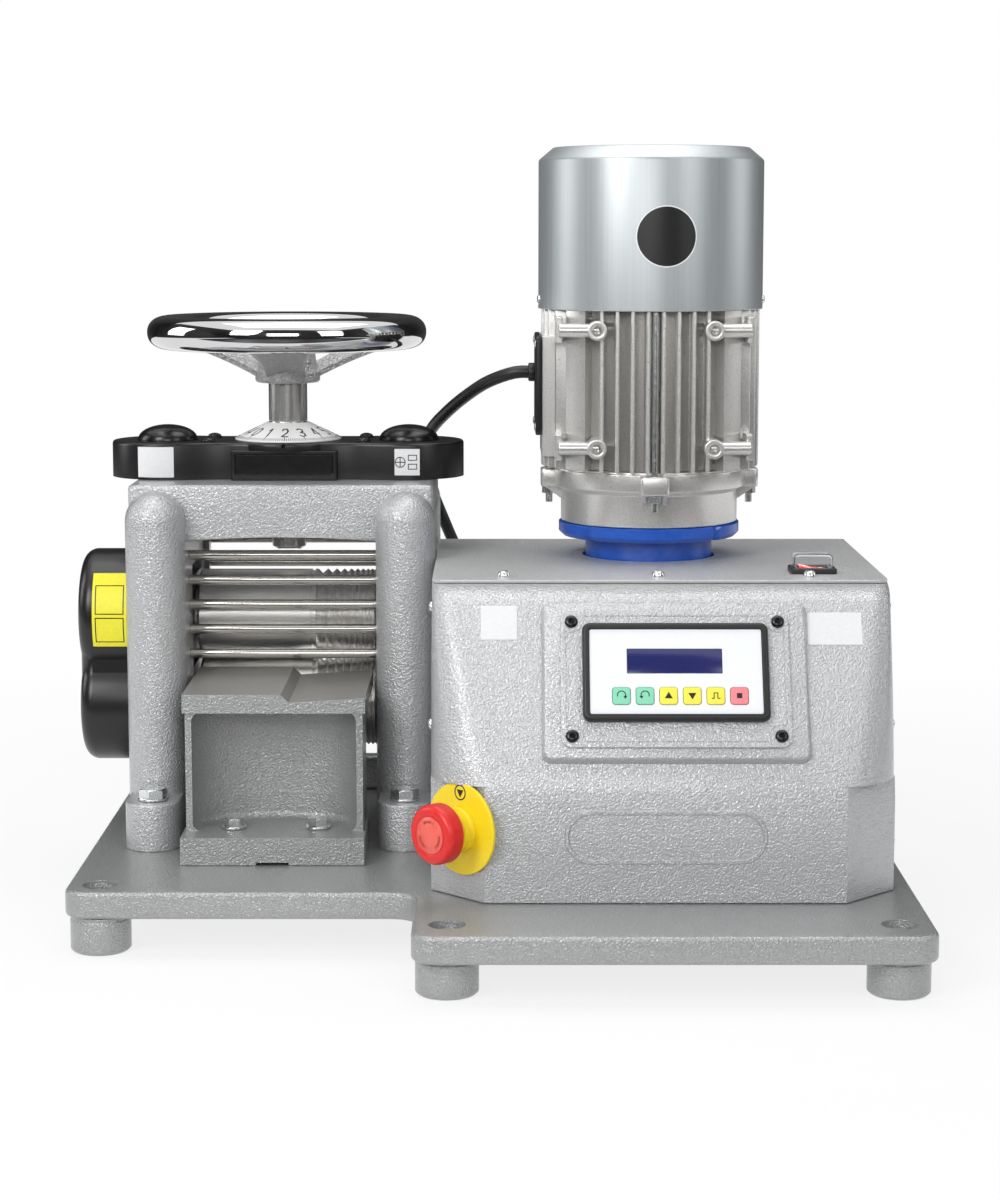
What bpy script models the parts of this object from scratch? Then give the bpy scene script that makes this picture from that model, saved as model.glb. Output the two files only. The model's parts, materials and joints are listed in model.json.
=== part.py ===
"""Motor-driven rolling mill for a jeweller's bench, with a hand-set roll gap.

Metres, +Z up. The working frame has its origin on the roll centre, at the top of the base plate:
+X runs along the rolls towards the motor, and the operator stands at -Y. One empty carries
every piece, and shifts them so that the part's own origin is the middle of its footprint.
"""
from math import acos, asin, atan2, copysign, cos, pi, radians, sin, sqrt, tan

import bmesh
import bpy
from mathutils import Matrix, Vector

for old in list(bpy.data.objects):
    bpy.data.objects.remove(old, do_unlink=True)

# Fits and facets
CLEAR = 0.0003
OVERRUN = 0.004
MERGE = 0.00002
SHARP = radians(35)
ROUND = 16
FINE = 24
SMALL = 12
ROLL_STEPS = 14

# Rolls
ROLL_D = 0.065
ROLL_FACE = 0.130
ROLL_AXIS_Z = 0.083
ROLL_TRAVEL = 0.006
JOURNAL_D = 0.036
SHAFT_D = 0.028
ROLL_EDGE = 0.0015
RELIEF_AT = 0.082
RELIEF_W = 0.0022
RELIEF_DEPTH = 0.0012
GROOVE_FIRST_W = 0.0068
GROOVE_STEP_SHARE = 0.88
GROOVE_LAND = 0.00045
GROOVE_LEAD = 0.0018
GROOVES = 9

# Frame casting
CHEEK_GAP = 0.003
CHEEK_T = 0.040
COLUMN_D = 0.042
COLUMN_REACH = 0.100
COLUMN_DOME_TOP = 0.246
FRAME_TOP = 0.250
CROSSHEAD_REACH = 0.075
CROSSHEAD_H = 0.040
CROSSHEAD_ARCH = 0.003
CROSSHEAD_CORNER = 0.004
BOSS_D = 0.038
BOSS_H = 0.033
BOSS_OFFSET = 0.014
TIE_H = 0.026
TIE_T = 0.016
CHOCK_W = 0.062
CHOCK_H = 0.060
CHOCK_CORNER = 0.003
WINDOW_SPARE = 0.003

# Guards
GUARD_D = 0.0065
GUARD_LOWEST_Z = 0.1262
GUARD_PITCH = 0.0178
GUARD_REACH = 0.050
GUARD_SEAT = 0.006
GUARD_BAR_W = 0.012
GUARD_BAR_T = 0.004
GUARDS = 5

# Feed table
TABLE_SIDE_GAP = 0.0045
TABLE_TOP = 0.114
TABLE_PLATE_T = 0.013
TABLE_FRONT = 0.172
TABLE_BACK = 0.036
TABLE_BODY_D = 0.068
TABLE_BASE_T = 0.019
TABLE_RIB = 0.0072
TABLE_WEB = 0.015
TABLE_FILLET = 0.006
TABLE_SCOOP_D = 0.060
TABLE_SCOOP_POWER = 3.5
TABLE_NOTCH_W = 0.022
TABLE_NOTCH_H = 0.0018
STEP_AT = 0.005
STEP_DEPTH = 0.0055
STEP_RISE = 0.0032

# Roll-gap gear: handwheel turn to screw turn
GEAR_MODULE = 0.00275
PINION_TEETH = 16
IDLER_TEETH = 12
SCREW_TEETH = 24
SCREW_GEAR_T = 0.008
GEAR_LIFT = 0.003
SCREW_D = 0.024
SCREW_STUB_D = 0.018
SCREW_CHAMFER = 0.002
IDLER_PIN_D = 0.010

# Gears that turn the rolls together
ROLL_GEAR_TEETH = 13
ROLL_GEAR_W = 0.026
ROLL_GEAR_GAP = 0.005
TOOTH_THICK_SHARE = 0.40
TOOTH_TIP_SHARE = 0.22
ADDENDUM_SHARE = 0.72
DEDENDUM_SHARE = 1.0

# Spindle, handwheel and dial
SPINDLE_BORE_D = 0.022
SPINDLE_D = 0.028
SPINDLE_NUT_D = 0.025
SPINDLE_NUT_T = 0.014
SPINDLE_STUB_D = 0.020
HUB_Z = 0.318
HUB_H = 0.030
HUB_D = 0.047
RIM_D = 0.172
RIM_W = 0.030
RIM_H = 0.024
RIM_Z = 0.3546
SPOKES = 3
SPOKE_W = 0.026
SPOKE_FLARE = 0.012
SPOKE_T = 0.010
DIAL_D = 0.077
DIAL_NECK_D = 0.031
DIAL_H = 0.0125
DIAL_RIM = 0.0014

# Cover over the screw gears
TOP_COVER_H = 0.026
TOP_COVER_LOBE_D = 0.080
TOP_COVER_WAIST = 0.0035
TOP_COVER_WALL = 0.003
TOP_COVER_BLOCK_W = 0.076
TOP_COVER_BLOCK_REACH = 0.042
TOP_COVER_LIP_D = 0.088
TOP_COVER_LIP_T = 0.0067
TOP_COVER_ROUND = 0.002
DOME_D = 0.043
DOME_H = 0.011

# Cover over the roll gears
SIDE_COVER_LOW_D = 0.086
SIDE_COVER_HIGH_D = 0.092
SIDE_COVER_HIGH_LIFT = 0.067
SIDE_COVER_WAIST = 0.034
SIDE_COVER_REACH = 0.041
SIDE_COVER_WALL = 0.003
SIDE_COVER_ROUND = 0.010

# Control housing
HOUSING_GAP = 0.0005
HOUSING_W = 0.302
HOUSING_FRONT = 0.273
HOUSING_TOP_FRONT = 0.207
HOUSING_BACK = 0.0415
HOUSING_WALL = 0.004
HOUSING_BEND_Z = 0.060
HOUSING_LEDGE_Z = 0.079
HOUSING_LEDGE_H = 0.004
HOUSING_CHAMFER = 0.035
HOUSING_SOFT_CORNER = 0.024
HOUSING_TOP_CORNER = 0.008
HOUSING_LEAN_POWER = 1.3
LID_Z = 0.1985
LID_T = 0.002
LID_HOLE_GAP = 0.002

# Control panel, on the leaning front
PANEL_OFFSET = 0.007
PANEL_LOW_Z = 0.083
PANEL_HIGH_Z = 0.192
PAD_W = 0.178
PAD_H = 0.118
PAD_LIFT = 0.007
PAD_CORNER = 0.005
PLATE_W = 0.165
PLATE_H = 0.102
PANEL_T = 0.002
PANEL_CORNER = 0.008
BEZEL_W = 0.120
BEZEL_H = 0.066
BEZEL_T = 0.0055
BEZEL_RIM = 0.0042
BEZEL_CORNER = 0.005
BEZEL_UP = 0.0035
KEYPAD_T = 0.004
KEY_W = 0.0114
KEY_PITCH = 0.0151
KEY_DROP = 0.0165
KEY_SHIFT = 0.0025
KEY_PROUD = 0.0007
KEY_H = 0.0030
KEY_CORNER = 0.002

# Stop button, on the left chamfer
ESTOP_Z = 0.0466
ESTOP_SHIFT = 0.0055
ESTOP_PLATE_D = 0.060
ESTOP_PLATE_T = 0.0025
ESTOP_COLLAR_D = 0.030
ESTOP_COLLAR_H = 0.010
ESTOP_STEM_D = 0.016
ESTOP_HEAD_D = 0.039
ESTOP_HEAD_T = 0.013
ESTOP_HEAD_ROUND = 0.004
ESTOP_TRAVEL = 0.004

# Rocker switch, on the lid
SWITCH_INSET = 0.046
SWITCH_Y = 0.152
SWITCH_W = 0.031
SWITCH_D = 0.024
SWITCH_T = 0.0035
SWITCH_BODY_DROP = 0.013
SWITCH_WALL = 0.0035
ROCKER_GAP = 0.0006
ROCKER_TILT = radians(8)
ROCKER_RISE = 0.003
ROCKER_DEPTH = 0.005

# Gearbox and motor
WORM_CENTRES = 0.050
WHEEL_CASE_D = 0.076
WHEEL_CASE_W = 0.076
WORM_CASE_D = 0.058
GEARBOX_FOOT_W = 0.060
GEARBOX_FOOT_D = 0.056
NECK_D = 0.090
NECK_LOW_Z = 0.150
FLANGE_OUTSET = 0.0015
FLANGE_T = 0.0102
FLANGE_CHAMFER = 0.003
FLANGE_LIFT = 0.0143
FLANGE_NOTCHES = 4
FLANGE_NOTCH_W = 0.007
FLANGE_NOTCH_DEPTH = 0.003
COUPLING_D = 0.044
SHIELD_INSET = 0.0145
SHIELD_RIM_INSET = 0.009
SHIELD_H = 0.039
SHIELD_RIM_H = 0.015
LUG_W = 0.020
LUG_H = 0.013
STATOR_H = 0.129
STATOR_D = 0.154
STATOR_CORE_D = 0.124
FIN_PITCH = 0.0104
FIN_T = 0.0028
FINS_PER_SIDE = 8
PAD_EDGE_SHARE = 0.62
PAD_ROOT_SHARE = 0.69
TIE_BOSS_D = 0.0134
TIE_BOSS_X = 0.040
TIE_BOSS_LOW_Z = 0.272
TIE_BOSS_HIGH_Z = 0.351
TIE_BOSS_PROUD = 0.0015
TIE_ARM_H = 0.0075
TIE_ARM_END = 0.062
TIE_ARM_INSET = 0.005
TERMINAL_W = 0.080
TERMINAL_H = 0.092
TERMINAL_LOW_Z = 0.267
TERMINAL_T = 0.004
TERMINAL_CORNER = 0.004
FAN_COVER_SPARE = 0.002
FAN_COVER_LOW_Z = 0.373
FAN_COVER_SIDE_H = 0.103
FAN_COVER_TOP_H = 0.009
FAN_COVER_TOP_INSET = 0.010
FAN_COVER_WALL = 0.0015
SLOT_FIRST_R = 0.020
SLOT_W = 0.012
SLOT_STEP = 0.022
SLOT_ROWS = 2
SLOT_BRIDGE = 0.006
ROTOR_SHAFT_D = 0.018
ROTOR_SEAT = 0.014
FAN_SPARE = 0.012
FAN_H = 0.030
FAN_DISC_T = 0.003
FAN_HUB_D = 0.032
FAN_BLADES = 6
FAN_BLADE_T = 0.0025
FAN_GAP = 0.010

# Base plate and feet
PLATE_T = 0.018
PLATE_LEFT_EDGE = 0.022
PLATE_RIGHT_EDGE = 0.0135
PLATE_TABLE_EDGE = 0.073
PLATE_HOUSING_EDGE = 0.079
PLATE_STEP_EDGE = 0.010
PLATE_BACK_EDGE = 0.026
PLATE_CORNER = 0.016
PLATE_HOLE_D = 0.023
HOLE_INSET = 0.022
HOLE_INSET_DEEP = 0.030
FOOT_D = 0.040
FOOT_H = 0.025
FOOT_BORE_D = 0.009
FOOT_ROUND = 0.0015

# Bolts that hold the frame and the table
BOLT_HEX = 0.017
BOLT_HEAD_H = 0.0065
BOLT_WASHER_D = 0.021
BOLT_WASHER_T = 0.0016
TABLE_BOLT_X = 0.029
TABLE_BOLT_INSET = 0.032

# Lead from the motor to the housing
CABLE_D = 0.009
CABLE_RISE_Z = 0.3278
CABLE_STEP = 0.020

# Places worked out from the sizes above
CHEEK_IN = ROLL_FACE / 2 + CHEEK_GAP
CHEEK_OUT = CHEEK_IN + CHEEK_T
CHEEK_X = CHEEK_IN + CHEEK_T / 2
COLUMN_Y = COLUMN_REACH - COLUMN_D / 2
FRAME_OUT = CHEEK_X + COLUMN_D / 2
TABLE_W = 2 * (CHEEK_X - COLUMN_D / 2 - TABLE_SIDE_GAP)
BOSS_Y = COLUMN_REACH + BOSS_OFFSET
ROLL_SPACING = ROLL_D + CLEAR
UPPER_AXIS_Z = ROLL_AXIS_Z + ROLL_SPACING
WINDOW_TOP = UPPER_AXIS_Z + CHOCK_H / 2 + ROLL_TRAVEL + WINDOW_SPARE
HOUSING_LEFT = FRAME_OUT + HOUSING_GAP
HOUSING_RIGHT = HOUSING_LEFT + HOUSING_W
MOTOR_X = (HOUSING_LEFT + HOUSING_RIGHT) / 2
MOTOR_Y = -WORM_CENTRES
PANEL_X = MOTOR_X + PANEL_OFFSET
SIDE_COVER_OUT = FRAME_OUT + CLEAR + SIDE_COVER_REACH
PLATE_LEFT = -FRAME_OUT - PLATE_LEFT_EDGE
PLATE_RIGHT = HOUSING_RIGHT + PLATE_RIGHT_EDGE
PLATE_FRONT_LEFT = -TABLE_FRONT - PLATE_TABLE_EDGE
PLATE_FRONT = -HOUSING_FRONT - PLATE_HOUSING_EDGE
PLATE_STEP_X = HOUSING_LEFT - PLATE_STEP_EDGE
PLATE_BACK = BOSS_Y + PLATE_BACK_EDGE
FLANGE_Z = LID_Z + FLANGE_LIFT
SHIELD_Z = FLANGE_Z + FLANGE_T + CLEAR
STATOR_Z = SHIELD_Z + SHIELD_H + CLEAR
STATOR_TOP = STATOR_Z + STATOR_H
COVER_TOP = FRAME_TOP + CLEAR + TOP_COVER_H

root = bpy.data.objects.new("rolling_mill", None)
bpy.context.collection.objects.link(root)
root.location = (
    (SIDE_COVER_OUT - PLATE_RIGHT) / 2,
    -(PLATE_FRONT + PLATE_BACK) / 2,
    PLATE_T + CLEAR + FOOT_H,
)


def finish(name, colour, roughness, metallic=0.0):
    """A plain material in the piece's own colour."""
    material = bpy.data.materials.new(name)
    material.use_nodes = True
    shader = material.node_tree.nodes["Principled BSDF"]
    shader.inputs["Base Color"].default_value = (*colour, 1.0)
    shader.inputs["Roughness"].default_value = roughness
    shader.inputs["Metallic"].default_value = metallic
    material.diffuse_color = (*colour, 1.0)
    return material


HAMMER_GREY = finish("hammer_grey", (0.42, 0.42, 0.43), 0.45, 0.4)
LID_GREY = finish("lid_grey", (0.34, 0.34, 0.35), 0.45, 0.4)
ROLL_STEEL = finish("roll_steel", (0.62, 0.61, 0.58), 0.22, 1.0)
BRIGHT_STEEL = finish("bright_steel", (0.66, 0.65, 0.62), 0.25, 1.0)
CHROME = finish("chrome", (0.75, 0.75, 0.76), 0.08, 1.0)
CAST_STEEL = finish("cast_steel", (0.35, 0.34, 0.33), 0.5, 1.0)
SATIN_BLACK = finish("satin_black", (0.012, 0.012, 0.013), 0.4)
CAST_ALUMINIUM = finish("cast_aluminium", (0.62, 0.60, 0.57), 0.4, 1.0)
GALVANISED = finish("galvanised", (0.66, 0.68, 0.69), 0.3, 1.0)
GEARBOX_BLUE = finish("gearbox_blue", (0.01, 0.09, 0.42), 0.4)
STOP_RED = finish("stop_red", (0.70, 0.02, 0.02), 0.35)
STOP_YELLOW = finish("stop_yellow", (0.90, 0.72, 0.02), 0.45)
DIAL_WHITE = finish("dial_white", (0.85, 0.85, 0.84), 0.5)
KEYPAD_WHITE = finish("keypad_white", (0.82, 0.83, 0.84), 0.45)
KEY_GREEN = finish("key_green", (0.35, 0.75, 0.55), 0.45)
KEY_YELLOW = finish("key_yellow", (0.90, 0.83, 0.20), 0.45)
KEY_PINK = finish("key_pink", (0.88, 0.42, 0.45), 0.45)
ZINC = finish("zinc", (0.68, 0.70, 0.70), 0.28, 1.0)
CABLE_BLACK = finish("cable_black", (0.012, 0.012, 0.012), 0.5)

# Turns that lay a shape drawn in X and Y, and raised along Z, onto another plane
ON_SIDE = Matrix(((0, 0, 1, 0), (1, 0, 0, 0), (0, 1, 0, 0), (0, 0, 0, 1)))
ON_FRONT = Matrix(((1, 0, 0, 0), (0, 0, 1, 0), (0, 1, 0, 0), (0, 0, 0, 1)))


def arc(centre, radius, start, end, steps):
    """Points along an arc, with both ends."""
    turns = [start + (end - start) * i / steps for i in range(steps + 1)]
    return [(centre[0] + radius * cos(a), centre[1] + radius * sin(a)) for a in turns]


def rectangle(width, depth, centre=(0, 0)):
    x, y = centre
    corners = ((-1, -1), (1, -1), (1, 1), (-1, 1))
    return [(x + i * width / 2, y + j * depth / 2) for i, j in corners]


def rounded(corners, radii, steps=4):
    """The outline through the corners, each with its own radius."""
    if not isinstance(radii, (list, tuple)):
        radii = [radii] * len(corners)
    points = []
    for i, corner in enumerate(corners):
        here = Vector(corner)
        before = (Vector(corners[i - 1]) - here).normalized()
        after = (Vector(corners[(i + 1) % len(corners)]) - here).normalized()
        if radii[i] == 0:
            points.append(tuple(here))
            continue
        half = before.angle(after) / 2
        middle = here + (before + after).normalized() * radii[i] / sin(half)
        start = here + before * radii[i] / tan(half) - middle
        end = here + after * radii[i] / tan(half) - middle
        sweep = start.angle_signed(end)
        for k in range(steps + 1):
            turned_by = Matrix.Rotation(-sweep * k / steps, 2)
            points.append(tuple(middle + turned_by @ start))
    return points


def loft(rings, open_ends=False):
    """A closed skin over rings of equally many points, from the first ring to the last."""
    bm = bmesh.new()
    loops = [[bm.verts.new(p) for p in ring] for ring in rings]
    count = len(rings[0])
    for lower, upper in zip(loops, loops[1:] + loops[:1] if open_ends else loops[1:]):
        for i in range(count):
            j = (i + 1) % count
            bm.faces.new((lower[i], lower[j], upper[j], upper[i]))
    if not open_ends:
        bm.faces.new(loops[0][::-1])
        bm.faces.new(loops[-1])
    bmesh.ops.recalc_face_normals(bm, faces=bm.faces)
    return bm


def shell(outer, inner):
    """A hollow skin: closed over its last rings, and open where its first rings lie."""
    bm = bmesh.new()
    count = len(outer[0])
    sides = [[[bm.verts.new(p) for p in ring] for ring in rings] for rings in (outer, inner)]
    for loops in sides:
        for lower, upper in zip(loops, loops[1:]):
            for i in range(count):
                j = (i + 1) % count
                bm.faces.new((lower[i], lower[j], upper[j], upper[i]))
        bm.faces.new(loops[-1])
    for i in range(count):
        j = (i + 1) % count
        bm.faces.new((sides[0][0][i], sides[0][0][j], sides[1][0][j], sides[1][0][i]))
    bmesh.ops.recalc_face_normals(bm, faces=bm.faces)
    return bm


def prism(outline, low, high):
    return loft([[(x, y, z) for x, y in outline] for z in (low, high)])


def turned(profile, steps=ROUND):
    """A solid turned about Z from (radius, height) points. It is a ring if none is on the axis."""
    bm = bmesh.new()
    rings = []
    for radius, height in profile:
        places = [(radius * cos(2 * pi * i / steps), radius * sin(2 * pi * i / steps)) for i in range(steps)]
        if radius == 0:
            places = [(0, 0)]
        rings.append([bm.verts.new((x, y, height)) for x, y in places])
    is_ring = profile[0][0] > 0
    for lower, upper in zip(rings, rings[1:] + rings[:1] if is_ring else rings[1:]):
        for i in range(steps):
            j = i + 1
            corners = (lower[i % len(lower)], lower[j % len(lower)], upper[j % len(upper)], upper[i % len(upper)])
            bm.faces.new(list(dict.fromkeys(corners)))
    bmesh.ops.recalc_face_normals(bm, faces=bm.faces)
    return bm


def moved(bm, matrix):
    bmesh.ops.transform(bm, matrix=matrix, verts=bm.verts)
    bmesh.ops.recalc_face_normals(bm, faces=bm.faces)
    return bm


def shifted(bm, x=0, y=0, z=0):
    return moved(bm, Matrix.Translation((x, y, z)))


def loose(bm):
    """A passing object that holds a shape while a Boolean reads it."""
    mesh = bpy.data.meshes.new("loose")
    bm.to_mesh(mesh)
    bm.free()
    holder = bpy.data.objects.new("loose", mesh)
    bpy.context.collection.objects.link(holder)
    return holder


def combined(operation, base, tools):
    """Joins the tools to the base, or cuts them from it, one after another."""
    body = loose(base)
    holders = [loose(tool) for tool in tools]
    for holder in holders:
        modifier = body.modifiers.new(operation, "BOOLEAN")
        modifier.operation = operation
        modifier.solver = "EXACT"
        modifier.object = holder
    result = bmesh.new()
    result.from_object(body, bpy.context.evaluated_depsgraph_get())
    for holder in [body, *holders]:
        bpy.data.objects.remove(holder, do_unlink=True)
    bmesh.ops.remove_doubles(result, verts=result.verts, dist=MERGE)
    bmesh.ops.dissolve_degenerate(result, dist=MERGE, edges=result.edges)
    return result


def joined(base, *tools):
    return combined("UNION", base, tools)


def cut(base, *tools):
    return combined("DIFFERENCE", base, tools)


def piece(name, bm, material, place=(0, 0, 0), parent=root):
    """Puts a finished shape into the scene as one named sub-part."""
    mesh = bpy.data.meshes.new(name)
    bm.to_mesh(mesh)
    bm.free()
    mesh.shade_smooth()
    mesh.set_sharp_from_angle(angle=SHARP)
    mesh.materials.append(material)
    thing = bpy.data.objects.new(name, mesh)
    bpy.context.collection.objects.link(thing)
    thing.location = place
    thing.parent = parent
    return thing


def gear_outline(teeth, module, phase=0.0):
    """Straight-flanked teeth with backlash. A tooth lies at the phase angle."""
    pitch = 2 * pi / teeth
    root_radius = module * (teeth / 2 - DEDENDUM_SHARE)
    tip_radius = module * (teeth / 2 + ADDENDUM_SHARE)
    root_half = pitch * (2 * TOOTH_THICK_SHARE - TOOTH_TIP_SHARE) / 2
    tip_half = pitch * TOOTH_TIP_SHARE / 2
    points = []
    for i in range(teeth):
        middle = phase + i * pitch
        for radius, turn in (
            (root_radius, -root_half), (tip_radius, -tip_half), (tip_radius, tip_half), (root_radius, root_half),
        ):
            points.append((radius * cos(middle + turn), radius * sin(middle + turn)))
    return points


def gear(teeth, module, thickness, bore, phase=0.0):
    wheel = prism(gear_outline(teeth, module, phase), 0, thickness)
    return cut(wheel, bore_cutter(bore, -OVERRUN, thickness + OVERRUN))


def cylinder(diameter, low, high, steps=ROUND):
    radius = diameter / 2
    return turned([(0, low), (radius, low), (radius, high), (0, high)], steps)


def bore_radius(diameter, steps):
    """The corner radius of a faceted hole whose flats clear a round shaft."""
    return (diameter / 2 + CLEAR) / cos(pi / steps)


def bore_cutter(diameter, low, high, steps=SMALL):
    return cylinder(2 * bore_radius(diameter, steps), low, high, steps)


# Base plate and feet

def foot_places():
    """Where the feet stand: three along the stepped front, two at the back."""
    left = PLATE_LEFT + HOLE_INSET
    right = PLATE_RIGHT - HOLE_INSET
    back = PLATE_BACK - HOLE_INSET
    front = PLATE_FRONT + HOLE_INSET_DEEP
    return {
        "foot_front_left": (left, PLATE_FRONT_LEFT + HOLE_INSET),
        "foot_front_middle": (PLATE_STEP_X + HOLE_INSET, front),
        "foot_front_right": (right, front),
        "foot_rear_left": (left, back),
        "foot_rear_right": (right, back),
    }


def base_plate():
    corners = [
        (PLATE_LEFT, PLATE_BACK),
        (PLATE_LEFT, PLATE_FRONT_LEFT),
        (PLATE_STEP_X, PLATE_FRONT_LEFT),
        (PLATE_STEP_X, PLATE_FRONT),
        (PLATE_RIGHT, PLATE_FRONT),
        (PLATE_RIGHT, PLATE_BACK),
    ]
    slab = prism(rounded(corners, PLATE_CORNER), -PLATE_T, 0)
    holes = [
        shifted(cylinder(PLATE_HOLE_D, -PLATE_T - OVERRUN, OVERRUN, 16), x, y) for x, y in foot_places().values()
    ]
    piece("base_plate", cut(slab, *holes), HAMMER_GREY)


def feet():
    bore = FOOT_BORE_D / 2
    side = FOOT_D / 2
    profile = [(bore, 0), (side - FOOT_ROUND, 0), (side, FOOT_ROUND), (side, FOOT_H), (bore, FOOT_H)]
    for name, (x, y) in foot_places().items():
        piece(name, turned(profile, SMALL), HAMMER_GREY, (x, y, -PLATE_T - CLEAR - FOOT_H))


# Frame casting

def dome(radius, base_z, top_z, steps=3):
    """The (radius, height) points of a quarter turn up to the axis."""
    height = top_z - base_z
    turns = [i * pi / 2 / steps for i in range(steps + 1)]
    return [(radius * cos(a) if i < steps else 0, base_z + height * sin(a)) for i, a in enumerate(turns)]


def mill_frame():
    radius = COLUMN_D / 2
    column = [(0, CLEAR), (radius, CLEAR), *dome(radius, COLUMN_DOME_TOP - radius, COLUMN_DOME_TOP)]
    parts = []
    for side in (-1, 1):
        cheek = rectangle(CHEEK_T, 2 * COLUMN_Y, (side * CHEEK_X, 0))
        parts.append(prism(cheek, CLEAR, FRAME_TOP - CROSSHEAD_H / 2))
        for end in (-1, 1):
            parts.append(shifted(turned(column, SMALL), side * CHEEK_X, end * COLUMN_Y))
            half = BOSS_D / 2
            tail = [(half, -BOSS_OFFSET - half), (-half, -BOSS_OFFSET - half)]
            boss = [(x, -end * y) for x, y in arc((0, 0), half, pi, 2 * pi, 6) + [(x, -y) for x, y in tail]]
            parts.append(shifted(prism(boss, CLEAR, BOSS_H), side * CHEEK_X, end * BOSS_Y))
    head_x = FRAME_OUT - ROLL_EDGE
    corners = rectangle(2 * head_x, 2 * CROSSHEAD_REACH)
    head = prism(rounded(corners, CROSSHEAD_CORNER, 3), FRAME_TOP - CROSSHEAD_H, FRAME_TOP)
    head_low = FRAME_TOP - CROSSHEAD_H
    sag = CROSSHEAD_ARCH
    arch_radius = (CHEEK_IN ** 2 + sag ** 2) / (2 * sag)
    half_turn = acos((arch_radius - sag) / arch_radius)
    arch = arc((0, head_low + sag - arch_radius), arch_radius, pi / 2 - half_turn, pi / 2 + half_turn, 6)
    arch_cut = moved(prism(arch, -COLUMN_REACH, COLUMN_REACH), ON_FRONT)
    tie = prism(
        rectangle(2 * CHEEK_X, TIE_T, (0, COLUMN_Y)), CLEAR, TIE_H
    )
    body = joined(cut(head, arch_cut), *parts, tie)
    cuts = []
    for side in (-1, 1):
        window = rectangle(CHOCK_W + 2 * CLEAR, WINDOW_TOP - ROLL_AXIS_Z + CHOCK_H / 2 + CLEAR)
        middle_z = (WINDOW_TOP + ROLL_AXIS_Z - CHOCK_H / 2 - CLEAR) / 2
        opening = moved(prism(window, -COLUMN_D, COLUMN_D), ON_SIDE)
        cuts.append(shifted(opening, side * CHEEK_X, 0, middle_z))
        screw_hole = bore_cutter(SCREW_D, WINDOW_TOP - OVERRUN, FRAME_TOP + OVERRUN)
        cuts.append(shifted(screw_hole, side * CHEEK_X))
        for i in range(GUARDS):
            seat = moved(bore_cutter(GUARD_D, -OVERRUN, GUARD_SEAT, 8), ON_SIDE)
            if side < 0:
                seat = moved(seat, Matrix.Scale(-1, 4, (1, 0, 0)))
            cuts.append(shifted(seat, side * CHEEK_IN, -GUARD_REACH, GUARD_LOWEST_Z + i * GUARD_PITCH))
    cuts.append(bore_cutter(SPINDLE_BORE_D, head_low - OVERRUN, FRAME_TOP + OVERRUN))
    body = cut(body, *cuts)
    pin_top = COVER_TOP - TOP_COVER_WALL - WINDOW_SPARE
    pins = [
        shifted(cylinder(IDLER_PIN_D, FRAME_TOP - OVERRUN, pin_top, SMALL), side * idler_x()) for side in (-1, 1)
    ]
    piece("mill_frame", joined(body, *pins), HAMMER_GREY)


def hex_bolt(name, x, y, z):
    """Head and washer of a bolt that stands on a face at height z."""
    across_corners = BOLT_HEX / cos(pi / 6)
    washer = cylinder(BOLT_WASHER_D, 0, BOLT_WASHER_T, SMALL)
    top = BOLT_WASHER_T + BOLT_HEAD_H
    crown = BOLT_HEX / 2
    head = turned(
        [(0, BOLT_WASHER_T / 2), (across_corners / 2, BOLT_WASHER_T / 2), (across_corners / 2, top - BOLT_WASHER_T / 2),
         (crown, top), (0, top)], 6,
    )
    piece(name, joined(washer, head), ZINC, (x, y, z + CLEAR))


def bolts():
    hex_bolt("frame_bolt_left", -CHEEK_X, -BOSS_Y, BOSS_H)
    hex_bolt("frame_bolt_right", CHEEK_X, -BOSS_Y, BOSS_H)
    hex_bolt("table_bolt_left", -TABLE_BOLT_X, -TABLE_FRONT + TABLE_BOLT_INSET, TABLE_BASE_T)
    hex_bolt("table_bolt_right", TABLE_BOLT_X, -TABLE_FRONT + TABLE_BOLT_INSET, TABLE_BASE_T)


# Rolls, their chocks and their gears

def groove_points(radius):
    """V grooves of 90 degrees that grow finer towards the right end of the roll."""
    left = -ROLL_FACE / 2
    points = [
        (left + RELIEF_AT, radius), (left + RELIEF_AT, radius - RELIEF_DEPTH),
        (left + RELIEF_AT + RELIEF_W, radius - RELIEF_DEPTH), (left + RELIEF_AT + RELIEF_W, radius),
    ]
    x = left + RELIEF_AT + RELIEF_W + GROOVE_LEAD
    for i in range(GROOVES):
        width = GROOVE_FIRST_W * GROOVE_STEP_SHARE ** i
        points += [(x, radius), (x + width / 2, radius - width / 2), (x + width, radius)]
        x += width + GROOVE_LAND
    return points


def roll(name, axis_z, right_end):
    """A roll with its journals. Its left end carries a gear, its right end may be driven."""
    face = ROLL_FACE / 2
    radius = ROLL_D / 2
    journal = JOURNAL_D / 2
    shaft = SHAFT_D / 2
    left_end = -(FRAME_OUT + ROLL_GEAR_GAP + ROLL_GEAR_W)
    profile = [
        (left_end, 0), (left_end, shaft - ROLL_EDGE), (left_end + ROLL_EDGE, shaft), (-CHEEK_OUT, shaft),
        (-CHEEK_OUT, journal), (-face, journal), (-face, radius - ROLL_EDGE), (-face + ROLL_EDGE, radius),
        *groove_points(radius), (face - ROLL_EDGE, radius), (face, radius - ROLL_EDGE), (face, journal),
        (CHEEK_OUT - CLEAR, journal),
    ]
    if right_end > CHEEK_OUT:
        profile += [(CHEEK_OUT - CLEAR, shaft), (right_end, shaft), (right_end, 0)]
    else:
        profile += [(CHEEK_OUT - CLEAR, 0)]
    body = moved(turned([(r, x) for x, r in profile], ROLL_STEPS), ON_SIDE)
    piece(name, body, ROLL_STEEL, (0, 0, axis_z))


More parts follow.
